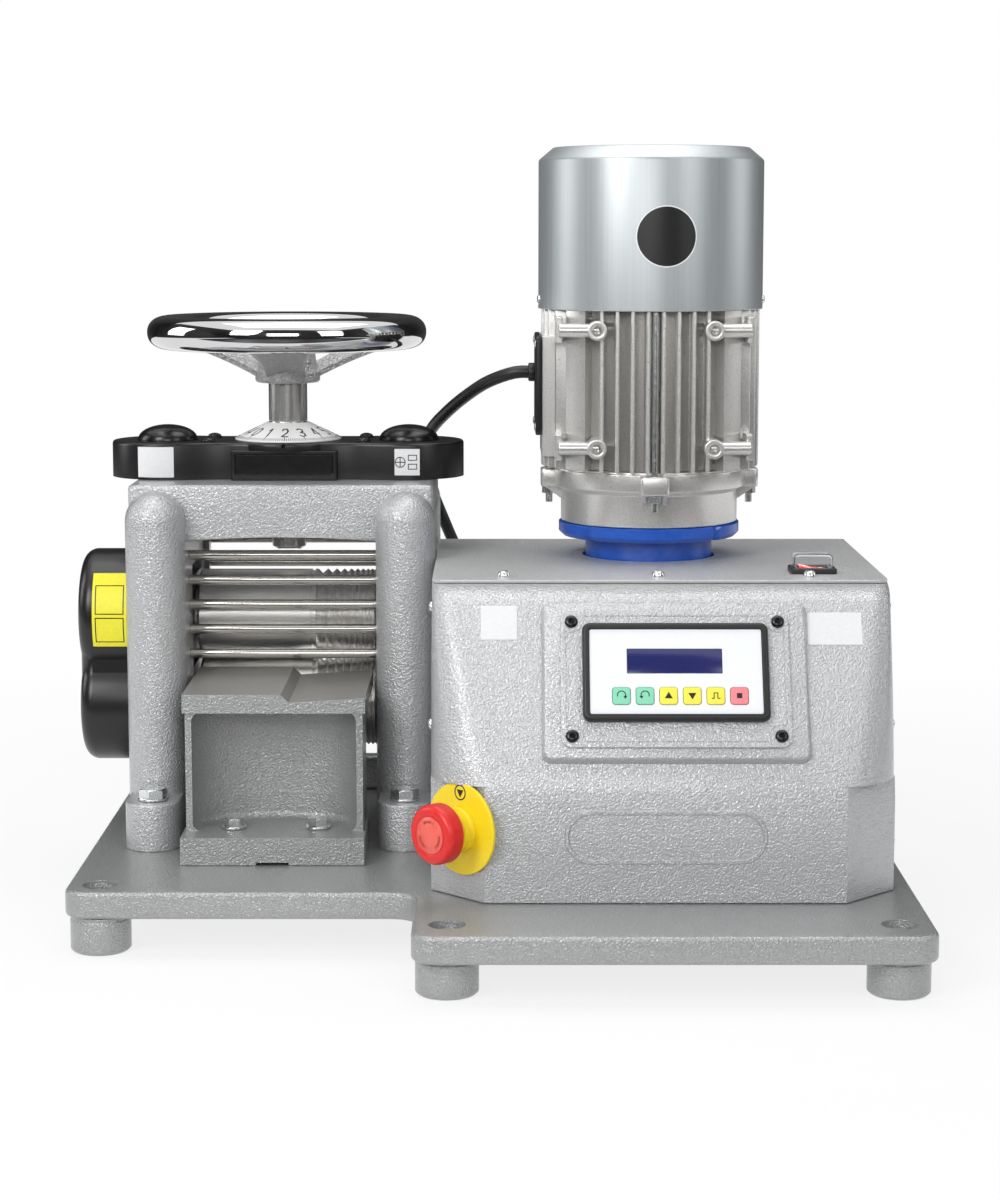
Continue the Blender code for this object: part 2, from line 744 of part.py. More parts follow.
def chock(name, side, axis_z):
    """A bearing block that fills its window across, with a bore for the journal."""
    corners = rectangle(CHOCK_W, CHOCK_H)
    thickness = CHEEK_T - 2 * CLEAR
    block = prism(rounded(corners, CHOCK_CORNER, 1), -thickness / 2, thickness / 2)
    bore = bore_cutter(JOURNAL_D, -thickness, thickness, ROLL_STEPS)
    body = moved(cut(block, bore), ON_SIDE)
    piece(name, body, CAST_STEEL, (side * CHEEK_X, 0, axis_z))


def roll_gear(name, axis_z, phase):
    wheel = gear(ROLL_GEAR_TEETH, ROLL_D / ROLL_GEAR_TEETH, ROLL_GEAR_W, SHAFT_D, phase)
    body = moved(wheel, ON_SIDE)
    left = -(FRAME_OUT + ROLL_GEAR_GAP + ROLL_GEAR_W)
    piece(name, body, CAST_STEEL, (left, 0, axis_z))


def rolling_train():
    coupling_left = HOUSING_LEFT + HOUSING_WALL + OVERRUN
    roll("lower_roll", ROLL_AXIS_Z, coupling_left + WORM_CENTRES)
    roll("upper_roll", UPPER_AXIS_Z, 0)
    for side, word in ((-1, "left"), (1, "right")):
        chock(f"lower_chock_{word}", side, ROLL_AXIS_Z)
        chock(f"upper_chock_{word}", side, UPPER_AXIS_Z)
    # In the gear's own plane its first tooth points along the second axis, straight up.
    roll_gear("lower_roll_gear", ROLL_AXIS_Z, pi / 2)
    roll_gear("upper_roll_gear", UPPER_AXIS_Z, -pi / 2 + pi / ROLL_GEAR_TEETH)
    shaft_end = coupling_left + WORM_CENTRES
    right = MOTOR_X - WHEEL_CASE_W / 2 - CLEAR
    bore = bore_radius(SHAFT_D, SMALL)
    profile = [
        (0, shaft_end + CLEAR), (bore, shaft_end + CLEAR), (bore, coupling_left), (COUPLING_D / 2, coupling_left),
        (COUPLING_D / 2, right), (0, right),
    ]
    piece("drive_coupling", moved(turned(profile, SMALL), ON_SIDE), CAST_STEEL, (0, 0, ROLL_AXIS_Z))


# Screws and gears that set the roll gap

def idler_x():
    return GEAR_MODULE * (PINION_TEETH + IDLER_TEETH) / 2


def pressure_screws():
    low = UPPER_AXIS_Z + CHOCK_H / 2 + CLEAR
    gear_z = FRAME_TOP + GEAR_LIFT
    thread = SCREW_D / 2
    stub = SCREW_STUB_D / 2
    profile = [
        (0, low), (thread - SCREW_CHAMFER, low), (thread, low + SCREW_CHAMFER), (thread, gear_z - CLEAR),
        (stub, gear_z - CLEAR), (stub, gear_z + SCREW_GEAR_T + CLEAR), (0, gear_z + SCREW_GEAR_T + CLEAR),
    ]
    idler_top = gear_z + SCREW_GEAR_T + ROLL_TRAVEL
    for side, word in ((-1, "left"), (1, "right")):
        piece(f"pressure_screw_{word}", turned(profile, 16), BRIGHT_STEEL, (side * CHEEK_X, 0, 0))
        wheel = gear(SCREW_TEETH, GEAR_MODULE, SCREW_GEAR_T, SCREW_STUB_D)
        piece(f"screw_gear_{word}", wheel, CAST_STEEL, (side * CHEEK_X, 0, gear_z))
        height = idler_top - FRAME_TOP - CLEAR
        idler = gear(IDLER_TEETH, GEAR_MODULE, height, IDLER_PIN_D, pi / IDLER_TEETH)
        piece(f"idler_gear_{word}", idler, CAST_STEEL, (side * idler_x(), 0, FRAME_TOP + CLEAR))


def spindle():
    """The upright shaft: retaining nut below the crosshead, gear teeth above it, wheel seat on top."""
    bore = SPINDLE_BORE_D / 2
    main = SPINDLE_D / 2
    nut_top = FRAME_TOP - CROSSHEAD_H + CROSSHEAD_ARCH - CLEAR - ROLL_EDGE
    gear_z = FRAME_TOP + CLEAR
    gear_top = FRAME_TOP + GEAR_LIFT + SCREW_GEAR_T + ROLL_TRAVEL
    stub = SPINDLE_STUB_D / 2
    profile = [
        (0, nut_top - SPINDLE_NUT_T), (SPINDLE_NUT_D / 2, nut_top - SPINDLE_NUT_T), (SPINDLE_NUT_D / 2, nut_top),
        (bore, nut_top), (bore, gear_z), (main, gear_z), (main, HUB_Z - CLEAR), (stub, HUB_Z - CLEAR),
        (stub, HUB_Z + HUB_H - SCREW_CHAMFER), (0, HUB_Z + HUB_H - SCREW_CHAMFER),
    ]
    teeth = prism(gear_outline(PINION_TEETH, GEAR_MODULE), gear_z, gear_top)
    piece("spindle", joined(turned(profile), teeth), BRIGHT_STEEL)


def handwheel():
    radius = RIM_D / 2
    rim = [
        (radius + RIM_W / 2 * cos(2 * pi * i / 8), RIM_Z + RIM_H / 2 * sin(2 * pi * i / 8)) for i in range(8)
    ]
    bore = bore_radius(SPINDLE_STUB_D, ROUND)
    hub_top = HUB_Z + HUB_H
    crown = HUB_D * 0.42
    hub = [
        (bore, HUB_Z), (HUB_D / 2 - ROLL_EDGE, HUB_Z), (HUB_D / 2, HUB_Z + ROLL_EDGE), (HUB_D / 2, HUB_Z + HUB_H / 4),
        (crown, HUB_Z + HUB_H / 2), (crown, hub_top), (bore, hub_top),
    ]
    spokes = []
    for i in range(SPOKES):
        inner = HUB_D / 3
        low = HUB_Z + HUB_H / 4
        high = RIM_Z - RIM_H / 6
        rings = []
        for share in (0.0, 0.3, 0.65, 1.0):
            x = inner + (radius - inner) * share
            half = SPOKE_W / 2 + SPOKE_FLARE * (share - share * (1 - share)) - RIM_W / 10 * share * (1 - share)
            z = low + (high - low) * share
            rings.append([
                (x, -half, z), (x, -half * 0.8, z + SPOKE_T), (x, half * 0.8, z + SPOKE_T), (x, half, z),
            ])
        spoke = moved(loft(rings), Matrix.Rotation(-pi / 2 + 2 * pi * i / SPOKES, 4, "Z"))
        spokes.append(spoke)
    body = joined(turned(rim, FINE), turned(hub), *spokes)
    bore_cut = cylinder(2 * bore, HUB_Z - OVERRUN, hub_top + OVERRUN)
    piece("handwheel", cut(body, bore_cut), CHROME)


def dial():
    low = COVER_TOP + CLEAR
    bore = bore_radius(SPINDLE_D, FINE)
    profile = [
        (bore, low), (DIAL_D / 2, low), (DIAL_D / 2, low + DIAL_RIM), (DIAL_NECK_D / 2, low + DIAL_H),
        (bore, low + DIAL_H),
    ]
    piece("dial", turned(profile, FINE), DIAL_WHITE)


# Covers

def bone_outline(inset):
    """Two round ends, with a waist that swells again at the middle."""
    lobe = TOP_COVER_LOBE_D / 2
    mean = lobe - TOP_COVER_WAIST
    right = [(CHEEK_X + x, y) for x, y in arc((0, 0), lobe - inset, -pi / 2, pi / 2, 7)]
    count = 10
    top = []
    for i in range(1, count):
        x = CHEEK_X * (1 - 2 * i / count)
        top.append((x, mean + TOP_COVER_WAIST * cos(2 * pi * x / CHEEK_X) - inset))
    left = [(-x, -y) for x, y in right]
    bottom = [(-x, -y) for x, y in top]
    return right + top + left + bottom


def top_cover():
    low = FRAME_TOP + CLEAR
    deck = COVER_TOP - TOP_COVER_ROUND
    soft = TOP_COVER_ROUND
    outer = [
        [(x, y, z) for x, y in bone_outline(inset)] for inset, z in ((0, low), (0, deck), (soft, COVER_TOP))
    ]
    ceiling = COVER_TOP - TOP_COVER_WALL
    inner = [[(x, y, z) for x, y in bone_outline(TOP_COVER_WALL)] for z in (low, ceiling)]
    body = shell(outer, inner)
    lip_low = COVER_TOP - TOP_COVER_LIP_T
    block = prism(rectangle(TOP_COVER_BLOCK_W, 2 * TOP_COVER_BLOCK_REACH), low, lip_low + ROLL_EDGE)
    lip = cylinder(TOP_COVER_LIP_D, lip_low, COVER_TOP - CLEAR, FINE)
    domes = [
        shifted(turned([(0, COVER_TOP - ROLL_EDGE), *dome(DOME_D / 2, COVER_TOP - ROLL_EDGE, COVER_TOP + DOME_H)], 16),
                side * CHEEK_X)
        for side in (-1, 1)
    ]
    body = joined(body, block, lip, *domes)
    inside = prism(bone_outline(TOP_COVER_WALL), low - OVERRUN, ceiling)
    reach = 2 * (TOP_COVER_BLOCK_REACH - TOP_COVER_WALL)
    inside_block = prism(rectangle(TOP_COVER_BLOCK_W - 2 * TOP_COVER_WALL, reach), low - OVERRUN, ceiling)
    hole = cylinder(SPINDLE_D + 2 * SCREW_CHAMFER, low, COVER_TOP + OVERRUN, 16)
    piece("top_cover", cut(body, inside, inside_block, hole), SATIN_BLACK)


def side_cover_outline(inset):
    """A figure of eight around both gears, in Y and Z about the lower roll's axis."""
    low = SIDE_COVER_LOW_D / 2 - inset
    high = SIDE_COVER_HIGH_D / 2 - inset
    waist = SIDE_COVER_WAIST - inset
    low_end = acos(waist / low)
    high_end = acos(waist / high)
    right = arc((0, 0), low, -pi / 2, low_end, 7)
    right += arc((0, SIDE_COVER_HIGH_LIFT), high, -high_end, pi / 2, 7)
    return right + [(-y, z) for y, z in right[-2:0:-1]]


def side_gear_cover():
    near = -CHEEK_OUT - CLEAR
    far = -SIDE_COVER_OUT
    soft = SIDE_COVER_ROUND
    wall = SIDE_COVER_WALL
    bends = [i * pi / 2 / 3 for i in range(4)]
    outer = [[(near, y, z) for y, z in side_cover_outline(0)]]
    outer += [
        [(far + soft * (1 - sin(a)), y, z) for y, z in side_cover_outline(soft * (1 - cos(a)))] for a in bends
    ]
    inner = [
        [(x, y, z) for y, z in side_cover_outline(inset)]
        for x, inset in ((near, wall), (far + soft, wall), (far + wall, wall + soft / 4))
    ]
    body = shell(outer, inner)
    piece("side_gear_cover", body, SATIN_BLACK, (0, 0, ROLL_AXIS_Z))


# Guards and feed table

def guards():
    length = 2 * (CHEEK_IN + GUARD_SEAT - CLEAR)
    for i in range(GUARDS):
        rod = moved(cylinder(GUARD_D, -length / 2, length / 2, 8), ON_SIDE)
        place = (0, -GUARD_REACH, GUARD_LOWEST_Z + i * GUARD_PITCH)
        piece(f"guard_rod_{i + 1}", rod, BRIGHT_STEEL, place)
    bar_x = CHEEK_IN - CLEAR - GUARD_BAR_T
    bars = []
    height = (GUARDS - 1) * GUARD_PITCH + GUARD_BAR_W
    for side in (-1, 1):
        plate = prism(rectangle(GUARD_BAR_W, height, (0, height / 2 - GUARD_BAR_W / 2)), 0, GUARD_BAR_T)
        bars.append(shifted(moved(plate, ON_SIDE), bar_x if side > 0 else -bar_x - GUARD_BAR_T))
    reach = bar_x + GUARD_BAR_T / 2
    rods = [
        shifted(moved(cylinder(GUARD_D, -reach, reach, 8), ON_SIDE), 0, 0, i * GUARD_PITCH) for i in range(GUARDS)
    ]
    piece("rear_guard", joined(bars[0], bars[1], *rods), BRIGHT_STEEL, (0, GUARD_REACH, GUARD_LOWEST_Z))


def feed_table():
    body_back = -TABLE_FRONT + TABLE_BODY_D
    under = TABLE_TOP - TABLE_PLATE_T
    side = [
        (-TABLE_FRONT, CLEAR), (body_back, CLEAR), (body_back, under - TABLE_WEB),
        (body_back + TABLE_WEB, under), (-TABLE_BACK, under), (-TABLE_BACK, TABLE_TOP), (-TABLE_FRONT, TABLE_TOP),
    ]
    block = moved(prism(side, -TABLE_W / 2, TABLE_W / 2), ON_SIDE)
    half_x = TABLE_W / 2 - TABLE_RIB
    bend = 2 / TABLE_SCOOP_POWER
    turns = [2 * pi * k / ROUND for k in range(ROUND)]
    shape = [(copysign(abs(cos(a)) ** bend, cos(a)), copysign(abs(sin(a)) ** bend, sin(a))) for a in turns]
    rings = []
    steps = 4
    levels = [
        (TABLE_BASE_T + TABLE_FILLET * (1 - cos(i * pi / 2 / steps)), TABLE_FILLET * (1 - sin(i * pi / 2 / steps)))
        for i in range(steps + 1)
    ]
    levels += [(under + TABLE_BASE_T - z, inset) for z, inset in reversed(levels)]
    for z, inset in levels:
        reach_x = half_x - inset
        reach_y = TABLE_SCOOP_D - inset
        rings.append([(reach_x * x, reach_y * y - TABLE_FRONT, z) for x, y in shape])
    scoop = loft(rings)
    top = TABLE_TOP + OVERRUN
    edge = TABLE_W / 2 + OVERRUN
    recess = [
        (STEP_AT, top), (STEP_AT, TABLE_TOP), (STEP_AT + STEP_DEPTH, TABLE_TOP - STEP_DEPTH),
        (TABLE_W / 2, TABLE_TOP - STEP_DEPTH + STEP_RISE), (edge, TABLE_TOP - STEP_DEPTH + STEP_RISE), (edge, top),
    ]
    recess_cut = moved(prism(recess, -TABLE_FRONT - OVERRUN, -TABLE_BACK + OVERRUN), ON_FRONT)
    notch = rectangle(TABLE_NOTCH_W, 2 * (TABLE_NOTCH_H + CLEAR))
    notch_cut = moved(prism(notch, -TABLE_FRONT - OVERRUN, body_back + OVERRUN), ON_FRONT)
    piece("feed_table", cut(block, scoop, recess_cut, notch_cut), HAMMER_GREY)


# Control housing

def front_y(z):
    """The front stands upright at the foot, then leans back towards the lid."""
    top = LID_Z - LID_T - CLEAR
    share = max(0.0, (z - HOUSING_BEND_Z) / (top - HOUSING_BEND_Z))
    return -HOUSING_FRONT + (HOUSING_FRONT - HOUSING_TOP_FRONT) * share ** HOUSING_LEAN_POWER


def housing_corner(z, inset):
    """Five points round the right front corner: a flat chamfer at the foot, a soft arc above it."""
    x = HOUSING_RIGHT - inset
    y = front_y(z) + inset
    if z <= HOUSING_LEDGE_Z:
        size = HOUSING_CHAMFER - inset * (2 - sqrt(2))
        return [(x - size * (1 - i / 4), y + size * i / 4) for i in range(5)]
    top = LID_Z - LID_T - CLEAR
    share = (z - HOUSING_LEDGE_Z) / (top - HOUSING_LEDGE_Z)
    radius = HOUSING_SOFT_CORNER + (HOUSING_TOP_CORNER - HOUSING_SOFT_CORNER) * share
    radius = max(radius - inset, HOUSING_WALL / 2)
    return arc((x - radius, y + radius), radius, -pi / 2, 0, 4)


def housing_path(z, inset, back):
    right = housing_corner(z, inset) + [(HOUSING_RIGHT - inset, back)]
    return [(2 * MOTOR_X - x, y) for x, y in reversed(right)] + right


def front_cover():
    back = HOUSING_BACK - LID_T - CLEAR
    top = LID_Z - LID_T - CLEAR
    over_ledge = HOUSING_LEDGE_Z + HOUSING_LEDGE_H
    spread = [HOUSING_BEND_Z, HOUSING_LEDGE_Z, over_ledge]
    levels = [CLEAR] + spread + [over_ledge + (top - over_ledge) * i / 4 for i in range(1, 5)]
    rings = []
    for z in levels:
        path = housing_path(z, 0, back) + list(reversed(housing_path(z, HOUSING_WALL, back)))
        rings.append([(x, y, z) for x, y in path])
    body = loft(rings)
    lean = panel_lean()
    pad = prism(rounded(rectangle(PAD_W, PAD_H), PAD_CORNER, 3), -PAD_LIFT - HOUSING_WALL / 2, 0)
    drive_hole = moved(cylinder(COUPLING_D, HOUSING_LEFT - OVERRUN, HOUSING_LEFT + HOUSING_WALL + OVERRUN, 16), ON_SIDE)
    body = joined(body, moved(pad, panel_matrix(lean)))
    body = cut(body, shifted(drive_hole, 0, 0, ROLL_AXIS_Z))
    piece("front_cover", body, HAMMER_GREY)


def panel_lean():
    rise = PANEL_HIGH_Z - PANEL_LOW_Z
    return atan2(front_y(PANEL_HIGH_Z) - front_y(PANEL_LOW_Z), rise)


def panel_matrix(lean):
    """Local X runs right, Y up the slope and Z out of the leaning pad's face."""
    z = (PANEL_LOW_Z + PANEL_HIGH_Z) / 2
    y = (front_y(PANEL_LOW_Z) + front_y(PANEL_HIGH_Z)) / 2
    out = Vector((0, -cos(lean), sin(lean)))
    place = Vector((PANEL_X, y, z)) + out * PAD_LIFT
    return Matrix.Translation(place) @ Matrix.Rotation(pi / 2 - lean, 4, "X")


def housing_lid():
    """One folded sheet: the deck and the back wall."""
    top = LID_Z
    side = [
        (-HOUSING_TOP_FRONT, top - LID_T), (HOUSING_BACK - LID_T, top - LID_T), (HOUSING_BACK - LID_T, CLEAR),
        (HOUSING_BACK, CLEAR), (HOUSING_BACK, top), (-HOUSING_TOP_FRONT, top),
    ]
    sheet = moved(prism(side, HOUSING_LEFT, HOUSING_RIGHT), ON_SIDE)
    neck = cylinder(NECK_D + 2 * LID_HOLE_GAP, LID_Z - LID_T - OVERRUN, LID_Z + OVERRUN)
    body_w = SWITCH_W - SWITCH_WALL + 2 * CLEAR
    body_d = SWITCH_D - SWITCH_WALL + 2 * CLEAR
    slot = prism(rectangle(body_w, body_d), LID_Z - LID_T - OVERRUN, LID_Z + OVERRUN)
    body = cut(sheet, shifted(neck, MOTOR_X, MOTOR_Y), shifted(slot, HOUSING_RIGHT - SWITCH_INSET, -SWITCH_Y))
    piece("housing_lid", body, LID_GREY)


def control_panel():
    """Plate, bezel, keypad and six keys, all on one empty that leans with the front."""
    matrix = panel_matrix(panel_lean())
    holder = bpy.data.objects.new("panel_face", None)
    bpy.context.collection.objects.link(holder)
    holder.parent = root
    holder.matrix_local = matrix
    plate = prism(rounded(rectangle(PLATE_W, PLATE_H), PANEL_CORNER), 0, PANEL_T)
    piece("panel_plate", plate, HAMMER_GREY, (0, 0, CLEAR), holder)
    deck = PANEL_T + 2 * CLEAR
    frame = prism(rounded(rectangle(BEZEL_W, BEZEL_H), BEZEL_CORNER, 3), 0, BEZEL_T)
    well_w = BEZEL_W - 2 * BEZEL_RIM
    well_h = BEZEL_H - 2 * BEZEL_RIM
    well = prism(rectangle(well_w, well_h), -OVERRUN, BEZEL_T + OVERRUN)
    piece("panel_bezel", cut(frame, well), SATIN_BLACK, (0, BEZEL_UP, deck), holder)
    sheet = prism(rectangle(well_w - 2 * CLEAR, well_h - 2 * CLEAR), 0, KEYPAD_T)
    keys = ["forward", "reverse", "up", "down", "monitor", "stop"]
    colours = [KEY_GREEN, KEY_GREEN, KEY_YELLOW, KEY_YELLOW, KEY_YELLOW, KEY_PINK]
    places = [((i - (len(keys) - 1) / 2) * KEY_PITCH + KEY_SHIFT, -KEY_DROP) for i in range(len(keys))]
    hole = KEY_W + 2 * CLEAR
    holes = [prism(rectangle(hole, hole, place), -OVERRUN, KEYPAD_T + OVERRUN) for place in places]
    piece("keypad", cut(sheet, *holes), KEYPAD_WHITE, (0, BEZEL_UP, deck), holder)
    for word, colour, (x, y) in zip(keys, colours, places):
        key = prism(rounded(rectangle(KEY_W, KEY_W), KEY_CORNER, 1), -KEY_H, 0)
        piece(f"key_{word}", key, colour, (x, y + BEZEL_UP, deck + KEYPAD_T + KEY_PROUD), holder)


def stop_button():
    """A mushroom button on a round plate. Its axis lies level, square to the left chamfer."""
    holder = bpy.data.objects.new("stop_axis", None)
    bpy.context.collection.objects.link(holder)
    along = HOUSING_CHAMFER / 2 + ESTOP_SHIFT / sqrt(2)
    across = HOUSING_CHAMFER / 2 - ESTOP_SHIFT / sqrt(2)
    holder.parent = root
    holder.location = (HOUSING_LEFT + along, -HOUSING_FRONT + across, ESTOP_Z)
    holder.rotation_euler = (pi / 2, 0, -pi / 4)
    plate_top = CLEAR + ESTOP_PLATE_T
    collar_top = plate_top + ESTOP_COLLAR_H
    stem = ESTOP_STEM_D / 2
    bore = bore_radius(ESTOP_STEM_D, FINE)
    plate = [
        (bore, CLEAR), (ESTOP_PLATE_D / 2, CLEAR), (ESTOP_PLATE_D / 2, plate_top),
        (ESTOP_COLLAR_D / 2, plate_top), (ESTOP_COLLAR_D / 2, collar_top), (bore, collar_top),
    ]
    piece("stop_plate", turned(plate, FINE), STOP_YELLOW, (0, 0, 0), holder)
    head_low = collar_top + ESTOP_TRAVEL + CLEAR
    head_top = head_low + ESTOP_HEAD_T
    soft = ESTOP_HEAD_ROUND
    rim = ESTOP_HEAD_D / 2
    button = [
        (0, CLEAR + ESTOP_TRAVEL), (stem, CLEAR + ESTOP_TRAVEL), (stem, head_low), (rim - soft / 2, head_low),
        (rim, head_low + soft / 2), (rim, head_top - soft), (rim - soft / 4, head_top - soft / 3),
        (rim - soft, head_top), (0, head_top),
    ]
    piece("stop_button", turned(button), STOP_RED, (0, 0, 0), holder)


def rocker_switch():
    x = HOUSING_RIGHT - SWITCH_INSET
    y = -SWITCH_Y
    low = LID_Z + CLEAR
    flange = prism(rounded(rectangle(SWITCH_W, SWITCH_D), SWITCH_WALL / 2, 3), low, low + SWITCH_T)
    drop = low - SWITCH_BODY_DROP
    body = prism(rectangle(SWITCH_W - SWITCH_WALL, SWITCH_D - SWITCH_WALL), drop, low + SWITCH_T / 2)
    well_w = SWITCH_W - 3 * SWITCH_WALL
    well_d = SWITCH_D - 3 * SWITCH_WALL
    floor = drop + SWITCH_WALL
    well = prism(rectangle(well_w, well_d), floor, low + SWITCH_T + OVERRUN)
    piece("switch_bezel", cut(joined(flange, body), well), SATIN_BLACK, (x, y, 0))
    half = well_w / 2 - ROCKER_GAP
    half_d = well_d / 2 - ROCKER_GAP / 2
    tilt = half * tan(ROCKER_TILT)
    side = [
        (-half * 0.75, -ROCKER_DEPTH), (half * 0.75, -ROCKER_DEPTH), (half, -ROCKER_DEPTH / 4), (half, ROCKER_RISE),
        (0, ROCKER_RISE - tilt / 2), (-half, ROCKER_RISE), (-half, -ROCKER_DEPTH / 4),
    ]
    body = moved(prism(side, -half_d, half_d), ON_FRONT)
    tipped = moved(body, Matrix.Rotation(ROCKER_TILT, 4, "Y"))
    piece("switch_rocker", tipped, STOP_RED, (x, y, low + SWITCH_T - ROCKER_RISE))


# Gearbox and motor

def gearbox():
    wheel_case = moved(cylinder(WHEEL_CASE_D, -WHEEL_CASE_W / 2, WHEEL_CASE_W / 2), ON_SIDE)
    wheel_case = shifted(wheel_case, 0, 0, ROLL_AXIS_Z)
    foot_y = -GEARBOX_FOOT_D / 4
    foot = prism(rectangle(GEARBOX_FOOT_W, GEARBOX_FOOT_D, (0, foot_y)), CLEAR, ROLL_AXIS_Z * 2 / 3)
    worm_case = shifted(cylinder(WORM_CASE_D, ROLL_AXIS_Z / 3, NECK_LOW_Z + OVERRUN), 0, MOTOR_Y)
    neck = shifted(cylinder(NECK_D, NECK_LOW_Z, FLANGE_Z + OVERRUN), 0, MOTOR_Y)
    rim = STATOR_D / 2 - SHIELD_INSET + FLANGE_OUTSET
    flange = turned([
        (0, FLANGE_Z), (rim - FLANGE_CHAMFER, FLANGE_Z), (rim, FLANGE_Z + FLANGE_CHAMFER),
        (rim, FLANGE_Z + FLANGE_T), (0, FLANGE_Z + FLANGE_T),
    ], FINE)
    body = joined(wheel_case, foot, worm_case, neck, shifted(flange, 0, MOTOR_Y))
    notches = []
    for i in range(FLANGE_NOTCHES):
        slot = rectangle(2 * FLANGE_NOTCH_DEPTH, FLANGE_NOTCH_W, (rim, 0))
        notch = moved(prism(slot, FLANGE_Z - OVERRUN, FLANGE_Z + FLANGE_T + OVERRUN), z_turn(pi / 4 + i * pi / 2))
        notches.append(shifted(notch, 0, MOTOR_Y))
    piece("gearbox", cut(body, *notches), GEARBOX_BLUE, (MOTOR_X, 0, 0))


def z_turn(angle):
    return Matrix.Rotation(angle, 4, "Z")


def end_shield():
    """The round casting between gearbox and stator, with four ears for the long studs."""
    low = STATOR_D / 2 - SHIELD_INSET
    rim = STATOR_D / 2 - SHIELD_RIM_INSET
    rim_z = SHIELD_Z + SHIELD_H - SHIELD_RIM_H
    body = turned([
        (0, SHIELD_Z), (low, SHIELD_Z), (low, rim_z - ROLL_EDGE), (rim, rim_z + ROLL_EDGE),
        (rim, SHIELD_Z + SHIELD_H), (0, SHIELD_Z + SHIELD_H),
    ], FINE)
    lug_z = rim_z + LUG_H / 2
    lugs = []
    for i in range(4):
        reach = STATOR_D / 2 - low + OVERRUN
        lug = prism(rectangle(reach, LUG_W, (low - OVERRUN + reach / 2, 0)), lug_z - LUG_H / 2, lug_z + LUG_H / 2)
        lugs.append(moved(lug, z_turn(i * pi / 2)))
    piece("end_shield", joined(body, *lugs), CAST_ALUMINIUM, (MOTOR_X, MOTOR_Y, 0))


def finned_outline():
    """One quarter of the stator's outline, turned four times: a corner pad, then a row of fins."""
    tip = STATOR_D / 2
    core = STATOR_CORE_D / 2
    quarter = []
    first = -FIN_PITCH * (FINS_PER_SIDE - 1) / 2
    for i in range(FINS_PER_SIDE):
        x = first + i * FIN_PITCH
        for edge, radius in ((-1, core), (-1, tip), (1, tip), (1, core)):
            at = x + edge * FIN_T / 2
            quarter.append((at, -sqrt(radius ** 2 - at ** 2)))
    root_x = core * PAD_ROOT_SHARE
    root_y = sqrt(core ** 2 - root_x ** 2)
    half_pad = pi / 4 - asin(PAD_EDGE_SHARE)
    quarter.append((root_x, -root_y))
    quarter += arc((0, 0), tip, -pi / 4 - half_pad, -pi / 4 + half_pad, 2)
    quarter.append((root_y, -root_x))
    points = []
    for turn in range(4):
        quarter_turn = Matrix.Rotation(turn * pi / 2, 2)
        points += [tuple(quarter_turn @ Vector(p)) for p in quarter]
    return points


def motor_body():
    """Finned stator casting, with four tie bosses in front and a flat for the terminal cover."""
    body = prism(finned_outline(), STATOR_Z, STATOR_TOP)
    extras = []
    tip = STATOR_D / 2
    boss_end = tip + TIE_BOSS_PROUD
    boss_start = STATOR_CORE_D / 3
    for z in (TIE_BOSS_LOW_Z, TIE_BOSS_HIGH_Z):
        for across in (-1, 1):
            boss = moved(cylinder(TIE_BOSS_D, -boss_end, -boss_start, SMALL), ON_FRONT)
            extras.append(shifted(boss, across * TIE_BOSS_X, 0, z))
            arm_w = TIE_ARM_END - TIE_BOSS_X
            arm_d = tip - TIE_ARM_INSET - boss_start
            middle = (across * (TIE_BOSS_X + arm_w / 2), -boss_start - arm_d / 2)
            arm = prism(rectangle(arm_w, arm_d, middle), -TIE_ARM_H / 2, TIE_ARM_H / 2)
            extras.append(shifted(arm, 0, 0, z))
    flat_w = tip - STATOR_CORE_D / 3
    flat = rectangle(flat_w, TERMINAL_W - 2 * TERMINAL_CORNER, (-tip + flat_w / 2, 0))
    flat_high = TERMINAL_LOW_Z + TERMINAL_H - TERMINAL_CORNER
    extras.append(prism(flat, TERMINAL_LOW_Z + TERMINAL_CORNER, flat_high))
    body = joined(body, *extras)
    bore = bore_cutter(ROTOR_SHAFT_D, STATOR_TOP - ROTOR_SEAT - CLEAR, STATOR_TOP + OVERRUN)
    piece("motor_body", cut(body, bore), CAST_ALUMINIUM, (MOTOR_X, MOTOR_Y, 0))


def terminal_cover():
    plate = prism(rounded(rectangle(TERMINAL_W, TERMINAL_H), TERMINAL_CORNER, 2), 0, TERMINAL_T)
    left = MOTOR_X - STATOR_D / 2 - CLEAR - TERMINAL_T
    middle_z = TERMINAL_LOW_Z + TERMINAL_H / 2
    piece("terminal_cover", moved(plate, ON_SIDE), SATIN_BLACK, (left, MOTOR_Y, middle_z))


def fan_cover():
    side = STATOR_D / 2 + FAN_COVER_SPARE
    rim = side - FAN_COVER_TOP_INSET
    wall = FAN_COVER_WALL
    inner_side = bore_radius(STATOR_D, FINE)
    shoulder = FAN_COVER_LOW_Z + FAN_COVER_SIDE_H
    top = shoulder + FAN_COVER_TOP_H
    profile = [
        (0, top), (rim, top), (side, shoulder), (side, FAN_COVER_LOW_Z), (inner_side, FAN_COVER_LOW_Z),
        (inner_side, shoulder - wall / 2), (rim - wall / 2, top - wall), (0, top - wall),
    ]
    body = turned(profile, FINE)
    slots = []
    for row in range(SLOT_ROWS):
        inner = SLOT_FIRST_R + row * SLOT_STEP
        outer = inner + SLOT_W
        count = 6 + 2 * row
        half = pi / count - SLOT_BRIDGE / (inner + outer)
        for i in range(count):
            middle = 2 * pi * i / count
            outline = arc((0, 0), outer, middle - half, middle + half, 2)
            outline += arc((0, 0), inner, middle + half, middle - half, 1)
            slots.append(prism(outline, top - OVERRUN, top + OVERRUN))
    piece("fan_cover", cut(body, *slots), GALVANISED, (MOTOR_X, MOTOR_Y, 0))


